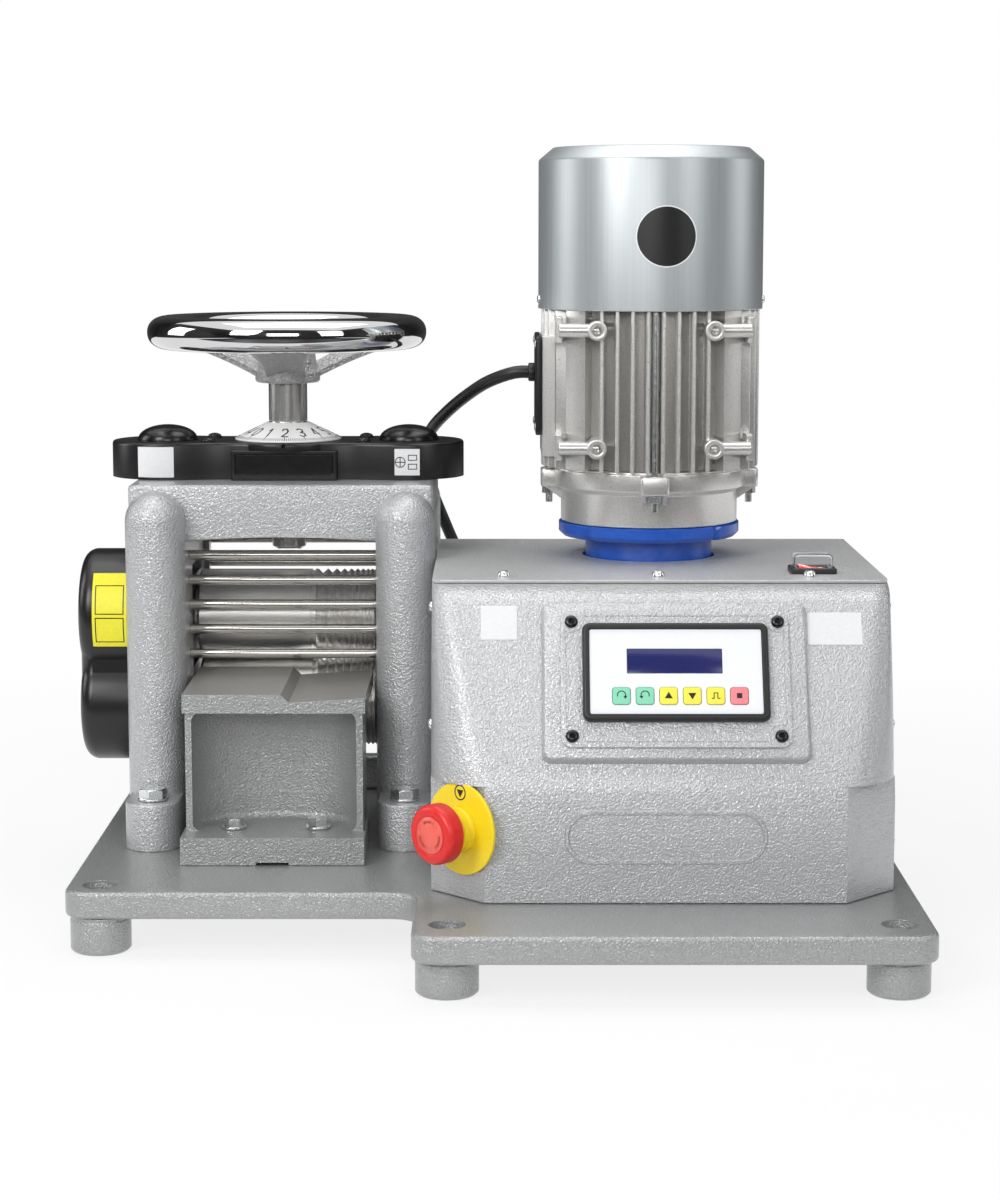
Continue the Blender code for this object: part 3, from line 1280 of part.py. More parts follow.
def motor_rotor():
    """Rear end of the shaft with its cooling fan."""
    hub_low = STATOR_TOP + FAN_GAP
    shaft = cylinder(ROTOR_SHAFT_D, STATOR_TOP - ROTOR_SEAT, hub_low + FAN_H + FAN_DISC_T, SMALL)
    hub = cylinder(FAN_HUB_D, hub_low - FAN_DISC_T / 2, hub_low + FAN_H + FAN_DISC_T / 2, SMALL)
    disc = cylinder(STATOR_D - 2 * FAN_SPARE, hub_low, hub_low + FAN_DISC_T)
    blades = []
    for i in range(FAN_BLADES):
        inner = FAN_HUB_D / 3
        outer = STATOR_D / 2 - FAN_SPARE - FAN_BLADE_T
        blade = rectangle(outer - inner, FAN_BLADE_T, ((inner + outer) / 2, 0))
        blades.append(moved(prism(blade, hub_low + FAN_DISC_T / 2, hub_low + FAN_H), z_turn(2 * pi * i / FAN_BLADES)))
    piece("motor_rotor", joined(disc, hub, shaft, *blades), SATIN_BLACK, (MOTOR_X, MOTOR_Y, 0))


# Lead from the motor to the housing

def cable_route():
    """Out of the terminal cover, round behind the frame and into the housing's back."""
    start_x = MOTOR_X - STATOR_D / 2 - 2 * CLEAR - TERMINAL_T
    end_y = HOUSING_BACK + CLEAR
    return [
        (start_x, -0.045, CABLE_RISE_Z), (start_x - 0.014, -0.0445, 0.3274), (0.1465, -0.034, 0.3205),
        (0.1310, -0.012, 0.3095), (0.1160, 0.018, 0.2955), (0.1030, 0.050, 0.2795), (0.0965, 0.082, 0.2610),
        (0.1000, 0.108, 0.2340), (0.1120, 0.120, 0.2010), (0.1260, 0.114, 0.1690), (0.1370, 0.096, 0.1430),
        (0.1430, 0.074, 0.1270), (0.1450, end_y + 0.014, 0.1220), (0.1450, end_y, 0.1220),
    ]


def smooth_points(route, step):
    """Points about one step apart on a smooth curve through the route."""
    points = [Vector(p) for p in route]
    padded = [points[0] * 2 - points[1], *points, points[-1] * 2 - points[-2]]
    result = [points[0]]
    for a, b, c, d in zip(padded, padded[1:], padded[2:], padded[3:]):
        count = max(1, round((c - b).length / step))
        for i in range(1, count + 1):
            t = i / count
            bend = (2 * a - 5 * b + 4 * c - d) * t ** 2 + (3 * b - a - 3 * c + d) * t ** 3
            result.append(b + ((c - a) * t + bend) / 2)
    return result


def motor_cable():
    curve = bpy.data.curves.new("motor_cable", "CURVE")
    curve.dimensions = "3D"
    curve.bevel_depth = CABLE_D / 2
    curve.bevel_resolution = 2
    curve.use_fill_caps = True
    points = smooth_points(cable_route(), CABLE_STEP)
    spline = curve.splines.new("POLY")
    spline.points.add(len(points) - 1)
    for spot, place in zip(spline.points, points):
        spot.co = (*place, 1.0)
    curve.materials.append(CABLE_BLACK)
    lead = bpy.data.objects.new("motor_cable", curve)
    bpy.context.collection.objects.link(lead)
    lead.parent = root


base_plate()
feet()
mill_frame()
bolts()
rolling_train()
pressure_screws()
spindle()
handwheel()
dial()
top_cover()
side_gear_cover()
guards()
feed_table()
front_cover()
housing_lid()
control_panel()
stop_button()
rocker_switch()
gearbox()
end_shield()
motor_body()
terminal_cover()
fan_cover()
motor_rotor()
motor_cable()
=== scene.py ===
"""The looks of the rolling mill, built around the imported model.

Shapes are drawn in the machine's working frame, as in the part's source: X along the rolls
towards the motor, -Y towards the operator, the origin on the roll centre at the plate's top.
Each finished mesh is then moved by SHIFT into the row frame.
"""

import json
from math import acos, asin, atan2, ceil, copysign, cos, pi, radians, sin, sqrt, tan

import bmesh
import bpy
from mathutils import Matrix, Vector

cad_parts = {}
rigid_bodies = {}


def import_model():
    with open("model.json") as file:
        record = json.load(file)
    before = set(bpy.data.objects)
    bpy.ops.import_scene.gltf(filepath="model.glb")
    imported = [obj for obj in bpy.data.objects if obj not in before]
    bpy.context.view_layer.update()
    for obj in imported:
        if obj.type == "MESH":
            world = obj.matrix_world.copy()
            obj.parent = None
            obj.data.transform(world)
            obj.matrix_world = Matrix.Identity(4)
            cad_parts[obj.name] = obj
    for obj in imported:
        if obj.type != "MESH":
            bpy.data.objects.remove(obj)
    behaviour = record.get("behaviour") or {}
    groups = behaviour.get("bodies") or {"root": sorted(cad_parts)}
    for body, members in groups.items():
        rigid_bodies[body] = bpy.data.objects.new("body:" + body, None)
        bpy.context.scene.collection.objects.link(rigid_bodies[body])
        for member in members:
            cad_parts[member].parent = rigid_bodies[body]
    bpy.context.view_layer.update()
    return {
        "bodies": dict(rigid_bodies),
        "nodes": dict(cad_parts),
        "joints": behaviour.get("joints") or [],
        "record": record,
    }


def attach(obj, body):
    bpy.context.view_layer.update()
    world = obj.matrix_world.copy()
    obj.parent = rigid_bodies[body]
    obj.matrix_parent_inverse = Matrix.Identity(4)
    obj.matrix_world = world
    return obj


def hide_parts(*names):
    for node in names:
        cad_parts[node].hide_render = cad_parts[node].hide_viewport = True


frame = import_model()
NODES = frame["nodes"]

SHIFT = Vector((-0.13735, 0.106, 0.0433))
CLEAR = 0.0003

# Sizes that the source of the part gives too
ROLL_D, ROLL_FACE = 0.065, 0.130
LOWER_Z, UPPER_Z = 0.083, 0.1483
CHEEK_IN, CHEEK_OUT, CHEEK_X = 0.068, 0.108, 0.088
COLUMN_D, COLUMN_Y, BOSS_Y = 0.042, 0.079, 0.114
FRAME_TOP, COVER_TOP = 0.250, 0.2763
HOUSING_LEFT, HOUSING_RIGHT = 0.1095, 0.4115
HOUSING_FRONT, HOUSING_TOP_FRONT, HOUSING_BACK = 0.273, 0.207, 0.0415
MOTOR_X, MOTOR_Y = 0.2605, -0.050
LID_Z = 0.1985
FLANGE_Z, SHIELD_Z, STATOR_Z, STATOR_TOP = 0.2128, 0.2233, 0.2626, 0.3916

ON_SIDE = Matrix(((0, 0, 1, 0), (1, 0, 0, 0), (0, 1, 0, 0), (0, 0, 0, 1)))
ON_FRONT = Matrix(((1, 0, 0, 0), (0, 0, 1, 0), (0, 1, 0, 0), (0, 0, 0, 1)))


# Materials

def node(tree, kind, **values):
    made = tree.nodes.new(kind)
    for name, value in values.items():
        if name in made.inputs:
            made.inputs[name].default_value = value
        else:
            setattr(made, name, value)
    return made


def finish(name, colour, roughness, metallic=0.0, scale=400.0, stretch=(1, 1, 1), detail=3.0,
           distortion=0.0, vary=0.08, rough_vary=0.06, bump=0.0, depth=0.0003, coat=0.0, cell=0.0,
           specular=0.5, cloud=0.0):
    """A surface with its own grain: colour, roughness and relief all follow one noise."""
    made = bpy.data.materials.new(name)
    made.use_nodes = True
    tree = made.node_tree
    shader = tree.nodes["Principled BSDF"]
    shader.inputs["Metallic"].default_value = metallic
    shader.inputs["Coat Weight"].default_value = coat
    shader.inputs["Coat Roughness"].default_value = 0.12
    shader.inputs["Specular IOR Level"].default_value = specular
    coords = node(tree, "ShaderNodeTexCoord")
    mapping = node(tree, "ShaderNodeMapping")
    mapping.inputs["Scale"].default_value = stretch
    tree.links.new(coords.outputs["Object"], mapping.inputs["Vector"])
    grain = node(tree, "ShaderNodeTexNoise", Scale=scale, Detail=detail, Distortion=distortion)
    tree.links.new(mapping.outputs["Vector"], grain.inputs["Vector"])
    height = grain.outputs["Fac"]
    if cell:
        pits = node(tree, "ShaderNodeTexVoronoi", Scale=cell, feature="SMOOTH_F1")
        tree.links.new(mapping.outputs["Vector"], pits.inputs["Vector"])
        both = node(tree, "ShaderNodeMath", operation="ADD")
        tree.links.new(height, both.inputs[0])
        tree.links.new(pits.outputs["Distance"], both.inputs[1])
        height = both.outputs[0]
    ramp = node(tree, "ShaderNodeMapRange")
    ramp.inputs["From Min"].default_value = 0.3
    ramp.inputs["From Max"].default_value = 0.7 if not cell else 1.2
    tree.links.new(height, ramp.inputs["Value"])
    mix = node(tree, "ShaderNodeMix", data_type="RGBA")
    mix.inputs[6].default_value = (*[max(0.0, c * (1 - vary)) for c in colour], 1)
    mix.inputs[7].default_value = (*[min(1.0, c * (1 + vary)) for c in colour], 1)
    tree.links.new(ramp.outputs[0], mix.inputs[0])
    tint = mix.outputs[2]
    if cloud:
        patches = node(tree, "ShaderNodeTexNoise", Scale=14.0, Detail=2.0)
        tree.links.new(coords.outputs["Object"], patches.inputs["Vector"])
        soft = node(tree, "ShaderNodeMapRange")
        soft.inputs["To Min"].default_value = 1 - cloud
        soft.inputs["To Max"].default_value = 1 + cloud
        tree.links.new(patches.outputs["Fac"], soft.inputs["Value"])
        shade = node(tree, "ShaderNodeVectorMath", operation="SCALE")
        tree.links.new(tint, shade.inputs[0])
        tree.links.new(soft.outputs[0], shade.inputs["Scale"])
        tint = shade.outputs[0]
    tree.links.new(tint, shader.inputs["Base Color"])
    rough = node(tree, "ShaderNodeMapRange")
    rough.inputs["To Min"].default_value = max(0.02, roughness - rough_vary)
    rough.inputs["To Max"].default_value = min(1.0, roughness + rough_vary)
    tree.links.new(grain.outputs["Fac"], rough.inputs["Value"])
    tree.links.new(rough.outputs[0], shader.inputs["Roughness"])
    if bump:
        relief = node(tree, "ShaderNodeBump", Strength=bump, Distance=depth)
        tree.links.new(height, relief.inputs["Height"])
        tree.links.new(relief.outputs[0], shader.inputs["Normal"])
    made.diffuse_color = (*colour, 1)
    return made


HAMMER = finish("hammer_grey", (0.50, 0.505, 0.51), 0.30, 0.50, scale=700, detail=1.2, distortion=0.5,
                vary=0.05, rough_vary=0.05, bump=0.85, depth=0.0012, cloud=0.03, coat=0.30)
# A darker copy of the same hammertone grey: painted shade for the low parts (plate, hole rings, feet, feed table)
SHADED_HAMMER = finish("hammer_grey_shaded", (0.37, 0.375, 0.375), 0.31, 0.50, scale=700, detail=1.2, distortion=0.5,
                     vary=0.06, rough_vary=0.05, bump=0.85, depth=0.0013, cloud=0.03, coat=0.30)
FINE_HAMMER = finish("lid_grey", (0.60, 0.60, 0.60), 0.34, 0.22, scale=780, detail=1.4, distortion=0.5,
                     vary=0.06, rough_vary=0.05, bump=0.9, depth=0.0014, cloud=0.03)
PLAIN_GREY = finish("table_grey", (0.35, 0.34, 0.325), 0.40, 0.5, scale=900, vary=0.06, bump=0.12, depth=0.0002,
                    cloud=0.06)
LID_EDGE = finish("lid_edge", (0.58, 0.58, 0.58), 0.35, 0.4, scale=900, vary=0.05, bump=0.1, depth=0.0002)
ROLL_STEEL = finish("ground_steel", (0.93, 0.92, 0.90), 0.30, 1.0, scale=300, stretch=(4, 1, 1), vary=0.03,
                    rough_vary=0.05, bump=0.05, depth=0.0001)
ROD_STEEL = finish("rod_steel", (0.66, 0.64, 0.60), 0.18, 1.0, scale=90, stretch=(30, 1, 1), vary=0.08,
                   rough_vary=0.08, bump=0.05, depth=0.0001)
SPINDLE_STEEL = finish("spindle_steel", (0.86, 0.85, 0.83), 0.24, 0.95, scale=900, vary=0.03, rough_vary=0.03)
CHROME = finish("chrome", (0.68, 0.68, 0.69), 0.05, 1.0, scale=30, vary=0.02, rough_vary=0.03)
ROUGH_SILVER = finish("rough_silver", (0.50, 0.50, 0.50), 0.32, 0.85, scale=520, detail=2, distortion=0.5,
                      vary=0.12, rough_vary=0.10, bump=1.0, depth=0.0022)
CAST_IRON = finish("oiled_iron", (0.22, 0.215, 0.21), 0.42, 1.0, scale=500, vary=0.2, bump=0.25, depth=0.0003)
BLACK = finish("satin_black", (0.010, 0.010, 0.011), 0.30, scale=900, vary=0.1, rough_vary=0.05, bump=0.08,
               depth=0.0002)
GLOSS_BLACK = finish("gloss_black", (0.006, 0.006, 0.007), 0.25, scale=300, vary=0.1, rough_vary=0.04)
BLACK_PLASTIC = finish("black_plastic", (0.014, 0.014, 0.015), 0.42, scale=1300, vary=0.12, bump=0.15, depth=0.0002)
CAST_ALU = finish("cast_aluminium", (0.74, 0.73, 0.71), 0.31, 0.80, scale=900, detail=2, vary=0.08,
                  rough_vary=0.08, bump=0.25, depth=0.0002, cloud=0.05)
ZINC_SHEET = finish("zinc_sheet", (0.47, 0.50, 0.51), 0.40, 0.72, scale=10, stretch=(90, 90, 1), detail=4,
                    vary=0.05, rough_vary=0.06, bump=0.04, depth=0.0002)
ZINC = finish("zinc_bolt", (0.80, 0.82, 0.82), 0.24, 1.0, scale=300, vary=0.08, rough_vary=0.10, bump=0.1,
              depth=0.0001)
BLUE = finish("gearbox_blue", (0.010, 0.085, 0.46), 0.30, scale=260, vary=0.12, rough_vary=0.06, bump=0.15,
              depth=0.0003, coat=0.4)
RED = finish("stop_red", (0.66, 0.016, 0.014), 0.36, scale=900, vary=0.06, bump=0.08, depth=0.0002)
PALE_RED = finish("stop_red_light", (0.78, 0.12, 0.09), 0.34, scale=900, vary=0.05)
ROCKER_RED = finish("rocker_red", (0.86, 0.035, 0.02), 0.22, scale=400, vary=0.06, coat=0.5)
YELLOW = finish("stop_yellow", (0.87, 0.66, 0.012), 0.40, scale=800, vary=0.05, bump=0.05, depth=0.0001)
LABEL_YELLOW = finish("label_yellow", (0.85, 0.78, 0.03), 0.40, scale=500, vary=0.04)
LABEL_WHITE = finish("label_white", (0.72, 0.72, 0.72), 0.38, scale=500, vary=0.03)
DIAL_WHITE = finish("dial_white", (0.80, 0.80, 0.79), 0.42, scale=500, vary=0.03)
INK = finish("ink", (0.010, 0.010, 0.011), 0.45, scale=800, vary=0.1)
WHITE_INK = finish("white_ink", (0.80, 0.78, 0.76), 0.4, scale=800, vary=0.04)
KEYPAD = finish("keypad_film", (0.78, 0.79, 0.81), 0.38, scale=1500, vary=0.02, bump=0.05, depth=0.0001)
GREEN = finish("key_green", (0.23, 0.62, 0.42), 0.42, scale=1500, vary=0.05, bump=0.05, depth=0.0001)
KEY_YELLOW = finish("key_yellow", (0.82, 0.74, 0.07), 0.42, scale=1500, vary=0.05, bump=0.05, depth=0.0001)
PINK = finish("key_pink", (0.80, 0.23, 0.25), 0.42, scale=1500, vary=0.05, bump=0.05, depth=0.0001)
DISPLAY = finish("display", (0.018, 0.022, 0.115), 0.16, scale=900, vary=0.12, rough_vary=0.03, coat=0.6)
RUBBER = finish("cable_rubber", (0.012, 0.012, 0.012), 0.42, scale=1200, vary=0.15, bump=0.1, depth=0.0002)


def clear_plastic():
    made = bpy.data.materials.new("clear_boot")
    made.use_nodes = True
    shader = made.node_tree.nodes["Principled BSDF"]
    grain = node(made.node_tree, "ShaderNodeTexNoise", Scale=300.0)
    rough = node(made.node_tree, "ShaderNodeMapRange")
    rough.inputs["To Min"].default_value = 0.05
    rough.inputs["To Max"].default_value = 0.16
    made.node_tree.links.new(grain.outputs["Fac"], rough.inputs["Value"])
    made.node_tree.links.new(rough.outputs[0], shader.inputs["Roughness"])
    shader.inputs["Base Color"].default_value = (0.95, 0.96, 0.97, 1)
    shader.inputs["Transmission Weight"].default_value = 1.0
    shader.inputs["IOR"].default_value = 1.12
    return made


CLEAR_BOOT = clear_plastic()


# Shapes

def arc(centre, radius, start, end, steps):
    turns = [start + (end - start) * i / steps for i in range(steps + 1)]
    return [(centre[0] + radius * cos(a), centre[1] + radius * sin(a)) for a in turns]


def rectangle(width, depth, centre=(0, 0)):
    x, y = centre
    return [(x + i * width / 2, y + j * depth / 2) for i, j in ((-1, -1), (1, -1), (1, 1), (-1, 1))]


def rounded(corners, radii, steps=8):
    """The outline through the corners, each with its own radius."""
    if not isinstance(radii, (list, tuple)):
        radii = [radii] * len(corners)
    points = []
    for i, corner in enumerate(corners):
        here = Vector(corner)
        before = (Vector(corners[i - 1]) - here).normalized()
        after = (Vector(corners[(i + 1) % len(corners)]) - here).normalized()
        if radii[i] == 0:
            points.append(tuple(here))
            continue
        half = before.angle(after) / 2
        middle = here + (before + after).normalized() * radii[i] / sin(half)
        start = here + before * radii[i] / tan(half) - middle
        end = here + after * radii[i] / tan(half) - middle
        sweep = start.angle_signed(end)
        for k in range(steps + 1):
            points.append(tuple(middle + Matrix.Rotation(-sweep * k / steps, 2) @ start))
    return points


def plate_outline(width, depth, radius, centre=(0, 0), steps=8):
    return rounded(rectangle(width, depth, centre), radius, steps)


def loft(rings, closed=False):
    """A skin over rings of equally many points. A closed one joins its last ring to its first."""
    bm = bmesh.new()
    loops = [[bm.verts.new(p) for p in ring] for ring in rings]
    count = len(rings[0])
    for lower, upper in zip(loops, loops[1:] + loops[:1] if closed else loops[1:]):
        for i in range(count):
            j = (i + 1) % count
            bm.faces.new((lower[i], lower[j], upper[j], upper[i]))
    if not closed:
        bm.faces.new(loops[0][::-1])
        bm.faces.new(loops[-1])
    bmesh.ops.recalc_face_normals(bm, faces=bm.faces)
    return bm


def prism(outline, low, high):
    return loft([[(x, y, z) for x, y in outline] for z in (low, high)])


def soft_prism(outline_at, low, high, radius, steps=4, bottom=True):
    """A raised outline whose edges are rounded. outline_at(inset) gives the outline."""
    rings = []
    if bottom:
        for k in range(steps + 1):
            a = pi / 2 * k / steps
            rings.append((radius * (1 - sin(a)), low + radius * (1 - cos(a))))
    else:
        rings.append((0, low))
    for k in range(steps + 1):
        a = pi / 2 * k / steps
        rings.append((radius * (1 - cos(a)), high - radius * (1 - sin(a))))
    return loft([[(x, y, z) for x, y in outline_at(inset)] for inset, z in rings])


def turned(profile, steps=96):
    """A solid turned about Z from (radius, height) points. It is a ring if none is on the axis."""
    bm = bmesh.new()
    rings = []
    for radius, height in profile:
        places = [(radius * cos(2 * pi * i / steps), radius * sin(2 * pi * i / steps)) for i in range(steps)]
        if radius == 0:
            places = [(0, 0)]
        rings.append([bm.verts.new((x, y, height)) for x, y in places])
    ring = profile[0][0] > 0
    for lower, upper in zip(rings, rings[1:] + rings[:1] if ring else rings[1:]):
        for i in range(steps):
            j = i + 1
            corners = (lower[i % len(lower)], lower[j % len(lower)], upper[j % len(upper)], upper[i % len(upper)])
            bm.faces.new(list(dict.fromkeys(corners)))
    bmesh.ops.recalc_face_normals(bm, faces=bm.faces)
    return bm


def softened(profile, radius, steps=3):
    """A turned profile whose inner corners get a small round."""
    points = []
    for i, here in enumerate(profile):
        if i in (0, len(profile) - 1):
            points.append(here)
            continue
        p, a, b = Vector(here), Vector(profile[i - 1]), Vector(profile[i + 1])
        to_a, to_b = a - p, b - p
        reach = min(radius, to_a.length * 0.45, to_b.length * 0.45)
        if reach < 1e-6 or to_a.angle(to_b) > radians(165):
            points.append(here)
            continue
        first, last = p + to_a.normalized() * reach, p + to_b.normalized() * reach
        for k in range(steps + 1):
            t = k / steps
            q = first * (1 - t) ** 2 + p * 2 * t * (1 - t) + last * t ** 2
            points.append((max(0.0, q.x), q.y))
    return points


def cylinder(diameter, low, high, steps=64):
    radius = diameter / 2
    return turned([(0, low), (radius, low), (radius, high), (0, high)], steps)


def moved(bm, matrix):
    bmesh.ops.transform(bm, matrix=matrix, verts=bm.verts)
    bmesh.ops.recalc_face_normals(bm, faces=bm.faces)
    return bm


def shifted(bm, x=0, y=0, z=0):
    return moved(bm, Matrix.Translation((x, y, z)))


def z_turn(angle):
    return Matrix.Rotation(angle, 4, "Z")


def merged(*parts):
    """Several meshes in one, without joining their surfaces."""
    result = bmesh.new()
    for part in parts:
        mesh = bpy.data.meshes.new("passing")
        part.to_mesh(mesh)
        part.free()
        result.from_mesh(mesh)
        bpy.data.meshes.remove(mesh)
    return result


def cut(base, *tools, operation="DIFFERENCE"):
    """Cuts the tools from the base, one after another."""
    holders = []
    for bm in (base, *tools):
        mesh = bpy.data.meshes.new("passing")
        bm.to_mesh(mesh)
        bm.free()
        holder = bpy.data.objects.new("passing", mesh)
        bpy.context.collection.objects.link(holder)
        holders.append(holder)
    body = holders[0]
    for holder in holders[1:]:
        modifier = body.modifiers.new("cut", "BOOLEAN")
        modifier.operation = operation
        modifier.solver = "EXACT"
        modifier.object = holder
    result = bmesh.new()
    result.from_object(body, bpy.context.evaluated_depsgraph_get())
    for holder in holders:
        mesh = holder.data
        bpy.data.objects.remove(holder)
        bpy.data.meshes.remove(mesh)
    bmesh.ops.remove_doubles(result, verts=result.verts, dist=0.00001)
    return result


def piece(name, bm, material, body="machine", stands_for=(), bevel=0.0, segments=3, sharp=35,
          second=None, second_where=None):
    """Puts a finished mesh into the scene: shading, material, its body and the nodes it stands for."""
    moved(bm, Matrix.Translation(SHIFT))
    mesh = bpy.data.meshes.new(name)
    bm.to_mesh(mesh)
    bm.free()
    mesh.shade_smooth()
    mesh.set_sharp_from_angle(angle=radians(sharp))
    mesh.materials.append(material)
    if second:
        mesh.materials.append(second)
        for face in mesh.polygons:
            if second_where(face.center - SHIFT, face.normal):
                face.material_index = 1
    made = bpy.data.objects.new(name, mesh)
    bpy.context.collection.objects.link(made)
    if bevel:
        modifier = made.modifiers.new("edges", "BEVEL")
        modifier.width = bevel
        modifier.segments = segments
        modifier.limit_method = "ANGLE"
        modifier.angle_limit = radians(sharp)
        modifier.harden_normals = True
        modifier.miter_outer = "MITER_ARC"
    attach(made, body)
    names = [stands_for] if isinstance(stands_for, str) else stands_for
    if names:
        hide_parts(*names)
    return made


def keep(material, *names, bevel=0.0004):
    """A CAD node whose shape is right gets its finish and fine edges."""
    for name in names:
        thing = NODES[name]
        thing.data.materials.clear()
        thing.data.materials.append(material)
        if bevel:
            modifier = thing.modifiers.new("edges", "BEVEL")
            modifier.width = bevel
            modifier.segments = 2
            modifier.limit_method = "ANGLE"
            modifier.angle_limit = radians(35)


# Camera, floor and light

def camera():
    data = bpy.data.cameras.new("camera")
    data.lens = 78.0
    data.sensor_width = 36.0
    data.shift_y = -28 / 1200
    made = bpy.data.objects.new("camera", data)
    bpy.context.collection.objects.link(made)
    made.location = (0.01715, -1.789, 0.4713)
    made.rotation_euler = (radians(90 - 7.5), 0, 0)
    bpy.context.scene.camera = made


def pale_for_camera(tree, surface, strength=None):
    """Camera, glossy and transmission rays see a pale tone; the rest see the surface."""
    path = node(tree, "ShaderNodeLightPath")
    seen = path.outputs["Is Camera Ray"]
    for other in ("Is Glossy Ray", "Is Transmission Ray"):
        both = node(tree, "ShaderNodeMath", operation="MAXIMUM")
        tree.links.new(seen, both.inputs[0])
        tree.links.new(path.outputs[other], both.inputs[1])
        seen = both.outputs[0]
    share = node(tree, "ShaderNodeMath", operation="MULTIPLY")
    tree.links.new(seen, share.inputs[0])
    share.inputs[1].default_value = 1.0
    if strength:
        tree.links.new(strength, share.inputs[1])
    mix = node(tree, "ShaderNodeMixShader")
    tree.links.new(share.outputs[0], mix.inputs[0])
    tree.links.new(surface, mix.inputs[1])
    return mix


def white_further_out(tree):
    """The floor keeps its shadow near the object and is plain white beyond."""
    spot = node(tree, "ShaderNodeNewGeometry")
    reach = node(tree, "ShaderNodeVectorMath", operation="LENGTH")
    tree.links.new(spot.outputs["Position"], reach.inputs[0])
    share = node(tree, "ShaderNodeMapRange")
    for word, value in (("From Min", 0.45), ("From Max", 1.1), ("To Min", 0.80), ("To Max", 1.0)):
        share.inputs[word].default_value = value
    tree.links.new(reach.outputs["Value"], share.inputs["Value"])
    return share.outputs[0]


def stage():
    mesh = bpy.data.meshes.new("floor")
    size = 5.0
    mesh.from_pydata([(-size, -size, 0), (size, -size, 0), (size, size, 0), (-size, size, 0)], [], [(0, 1, 2, 3)])
    floor = bpy.data.objects.new("floor", mesh)
    floor.location = (0, 0, -0.0004)
    bpy.context.collection.objects.link(floor)
    pale = bpy.data.materials.new("floor")
    pale.use_nodes = True
    tree = pale.node_tree
    shader = tree.nodes["Principled BSDF"]
    shader.inputs["Base Color"].default_value = (0.86, 0.86, 0.86, 1)
    shader.inputs["Roughness"].default_value = 0.9
    mix = pale_for_camera(tree, shader.outputs[0], white_further_out(tree))
    glow = node(tree, "ShaderNodeEmission")
    glow.inputs["Color"].default_value = (1, 1, 1, 1)
    glow.inputs["Strength"].default_value = 1.0
    tree.links.new(glow.outputs[0], mix.inputs[2])
    tree.links.new(mix.outputs[0], tree.nodes["Material Output"].inputs["Surface"])
    mesh.materials.append(pale)

    world = bpy.data.worlds.new("studio")
    bpy.context.scene.world = world
    world.use_nodes = True
    tree = world.node_tree
    room = tree.nodes["Background"]
    room.inputs["Color"].default_value = (0.93, 0.96, 1.0, 1)
    room.inputs["Strength"].default_value = 0.33
    mix = pale_for_camera(tree, room.outputs[0])
    white = node(tree, "ShaderNodeBackground")
    white.inputs["Color"].default_value = (1, 1, 1, 1)
    white.inputs["Strength"].default_value = 1.0
    tree.links.new(white.outputs[0], mix.inputs[2])
    tree.links.new(mix.outputs[0], tree.nodes["World Output"].inputs["Surface"])

    dark = bpy.data.materials.new("flag")
    dark.use_nodes = True
    dark.node_tree.nodes["Principled BSDF"].inputs["Base Color"].default_value = (0.02, 0.02, 0.02, 1)
    for name, place, width, height, turn in (
        ("flag_front", (0.0, -2.1, 1.35), 4.6, 2.7, (0, 0, 0)),
        ("flag_left", (-2.3, 0.0, 1.35), 4.2, 2.7, (0, 0, 90)),
        ("flag_right", (2.3, 0.0, 1.35), 4.2, 2.7, (0, 0, 90)),
        ("flag_back", (0.0, 2.1, 1.20), 4.6, 2.4, (0, 0, 0)),
        ("flag_low", (0.0, -1.25, 0.002), 3.6, 1.7, (90, 0, 0)),
    ):
        mesh = bpy.data.meshes.new(name)
        mesh.from_pydata([(x * width / 2, 0, z * height / 2) for x, z in ((-1, -1), (1, -1), (1, 1), (-1, 1))],
                         [], [(0, 1, 2, 3)])
        mesh.materials.append(dark)
        flag = bpy.data.objects.new(name, mesh)
        bpy.context.collection.objects.link(flag)
        flag.location = place
        flag.rotation_euler = [radians(a) for a in turn]
        flag.visible_camera = False
        flag.visible_shadow = False
        flag.visible_diffuse = False
        flag.visible_transmission = False


def lamp(name, place, target, width, height, power):
    data = bpy.data.lights.new(name, "AREA")
    data.shape = "RECTANGLE"
    data.size = width
    data.size_y = height
    data.energy = power
    made = bpy.data.objects.new(name, data)
    bpy.context.collection.objects.link(made)
    made.location = place
    made.rotation_euler = (Vector(target) - Vector(place)).to_track_quat("-Z", "Y").to_euler()


def lights():
    lamp("key", (-1.25, -1.75, 1.35), (-0.05, 0.0, 0.22), 0.9, 1.2, 28)
    lamp("fill", (1.35, -1.6, 1.1), (0.1, 0.0, 0.22), 0.8, 1.2, 8)
    lamp("front", (-0.10, -1.95, 0.80), (-0.1, 0.0, 0.22), 0.9, 0.45, 7)
    lamp("top", (0.0, 0.1, 1.9), (0.0, 0.0, 0.2), 1.6, 1.2, 13)
    lamp("left", (-1.9, 0.3, 0.9), (0.0, 0.0, 0.25), 0.7, 1.1, 8)
    lamp("right", (1.9, 0.3, 0.9), (0.0, 0.0, 0.25), 0.7, 1.1, 5)


# Motor lead

def lead_route():
    start_x = MOTOR_X - 0.077 - 2 * CLEAR - 0.004
    end_y = HOUSING_BACK + CLEAR
    return [
        (start_x, -0.045, 0.3278), (start_x - 0.014, -0.0445, 0.3274), (0.1465, -0.034, 0.3205),
        (0.1310, -0.012, 0.3095), (0.1160, 0.018, 0.2955), (0.1030, 0.050, 0.2795), (0.0965, 0.082, 0.2610),
        (0.1000, 0.108, 0.2340), (0.1120, 0.120, 0.2010), (0.1260, 0.114, 0.1690), (0.1370, 0.096, 0.1430),
        (0.1430, 0.074, 0.1270), (0.1450, end_y + 0.014, 0.1220), (0.1450, end_y, 0.1220),
    ]


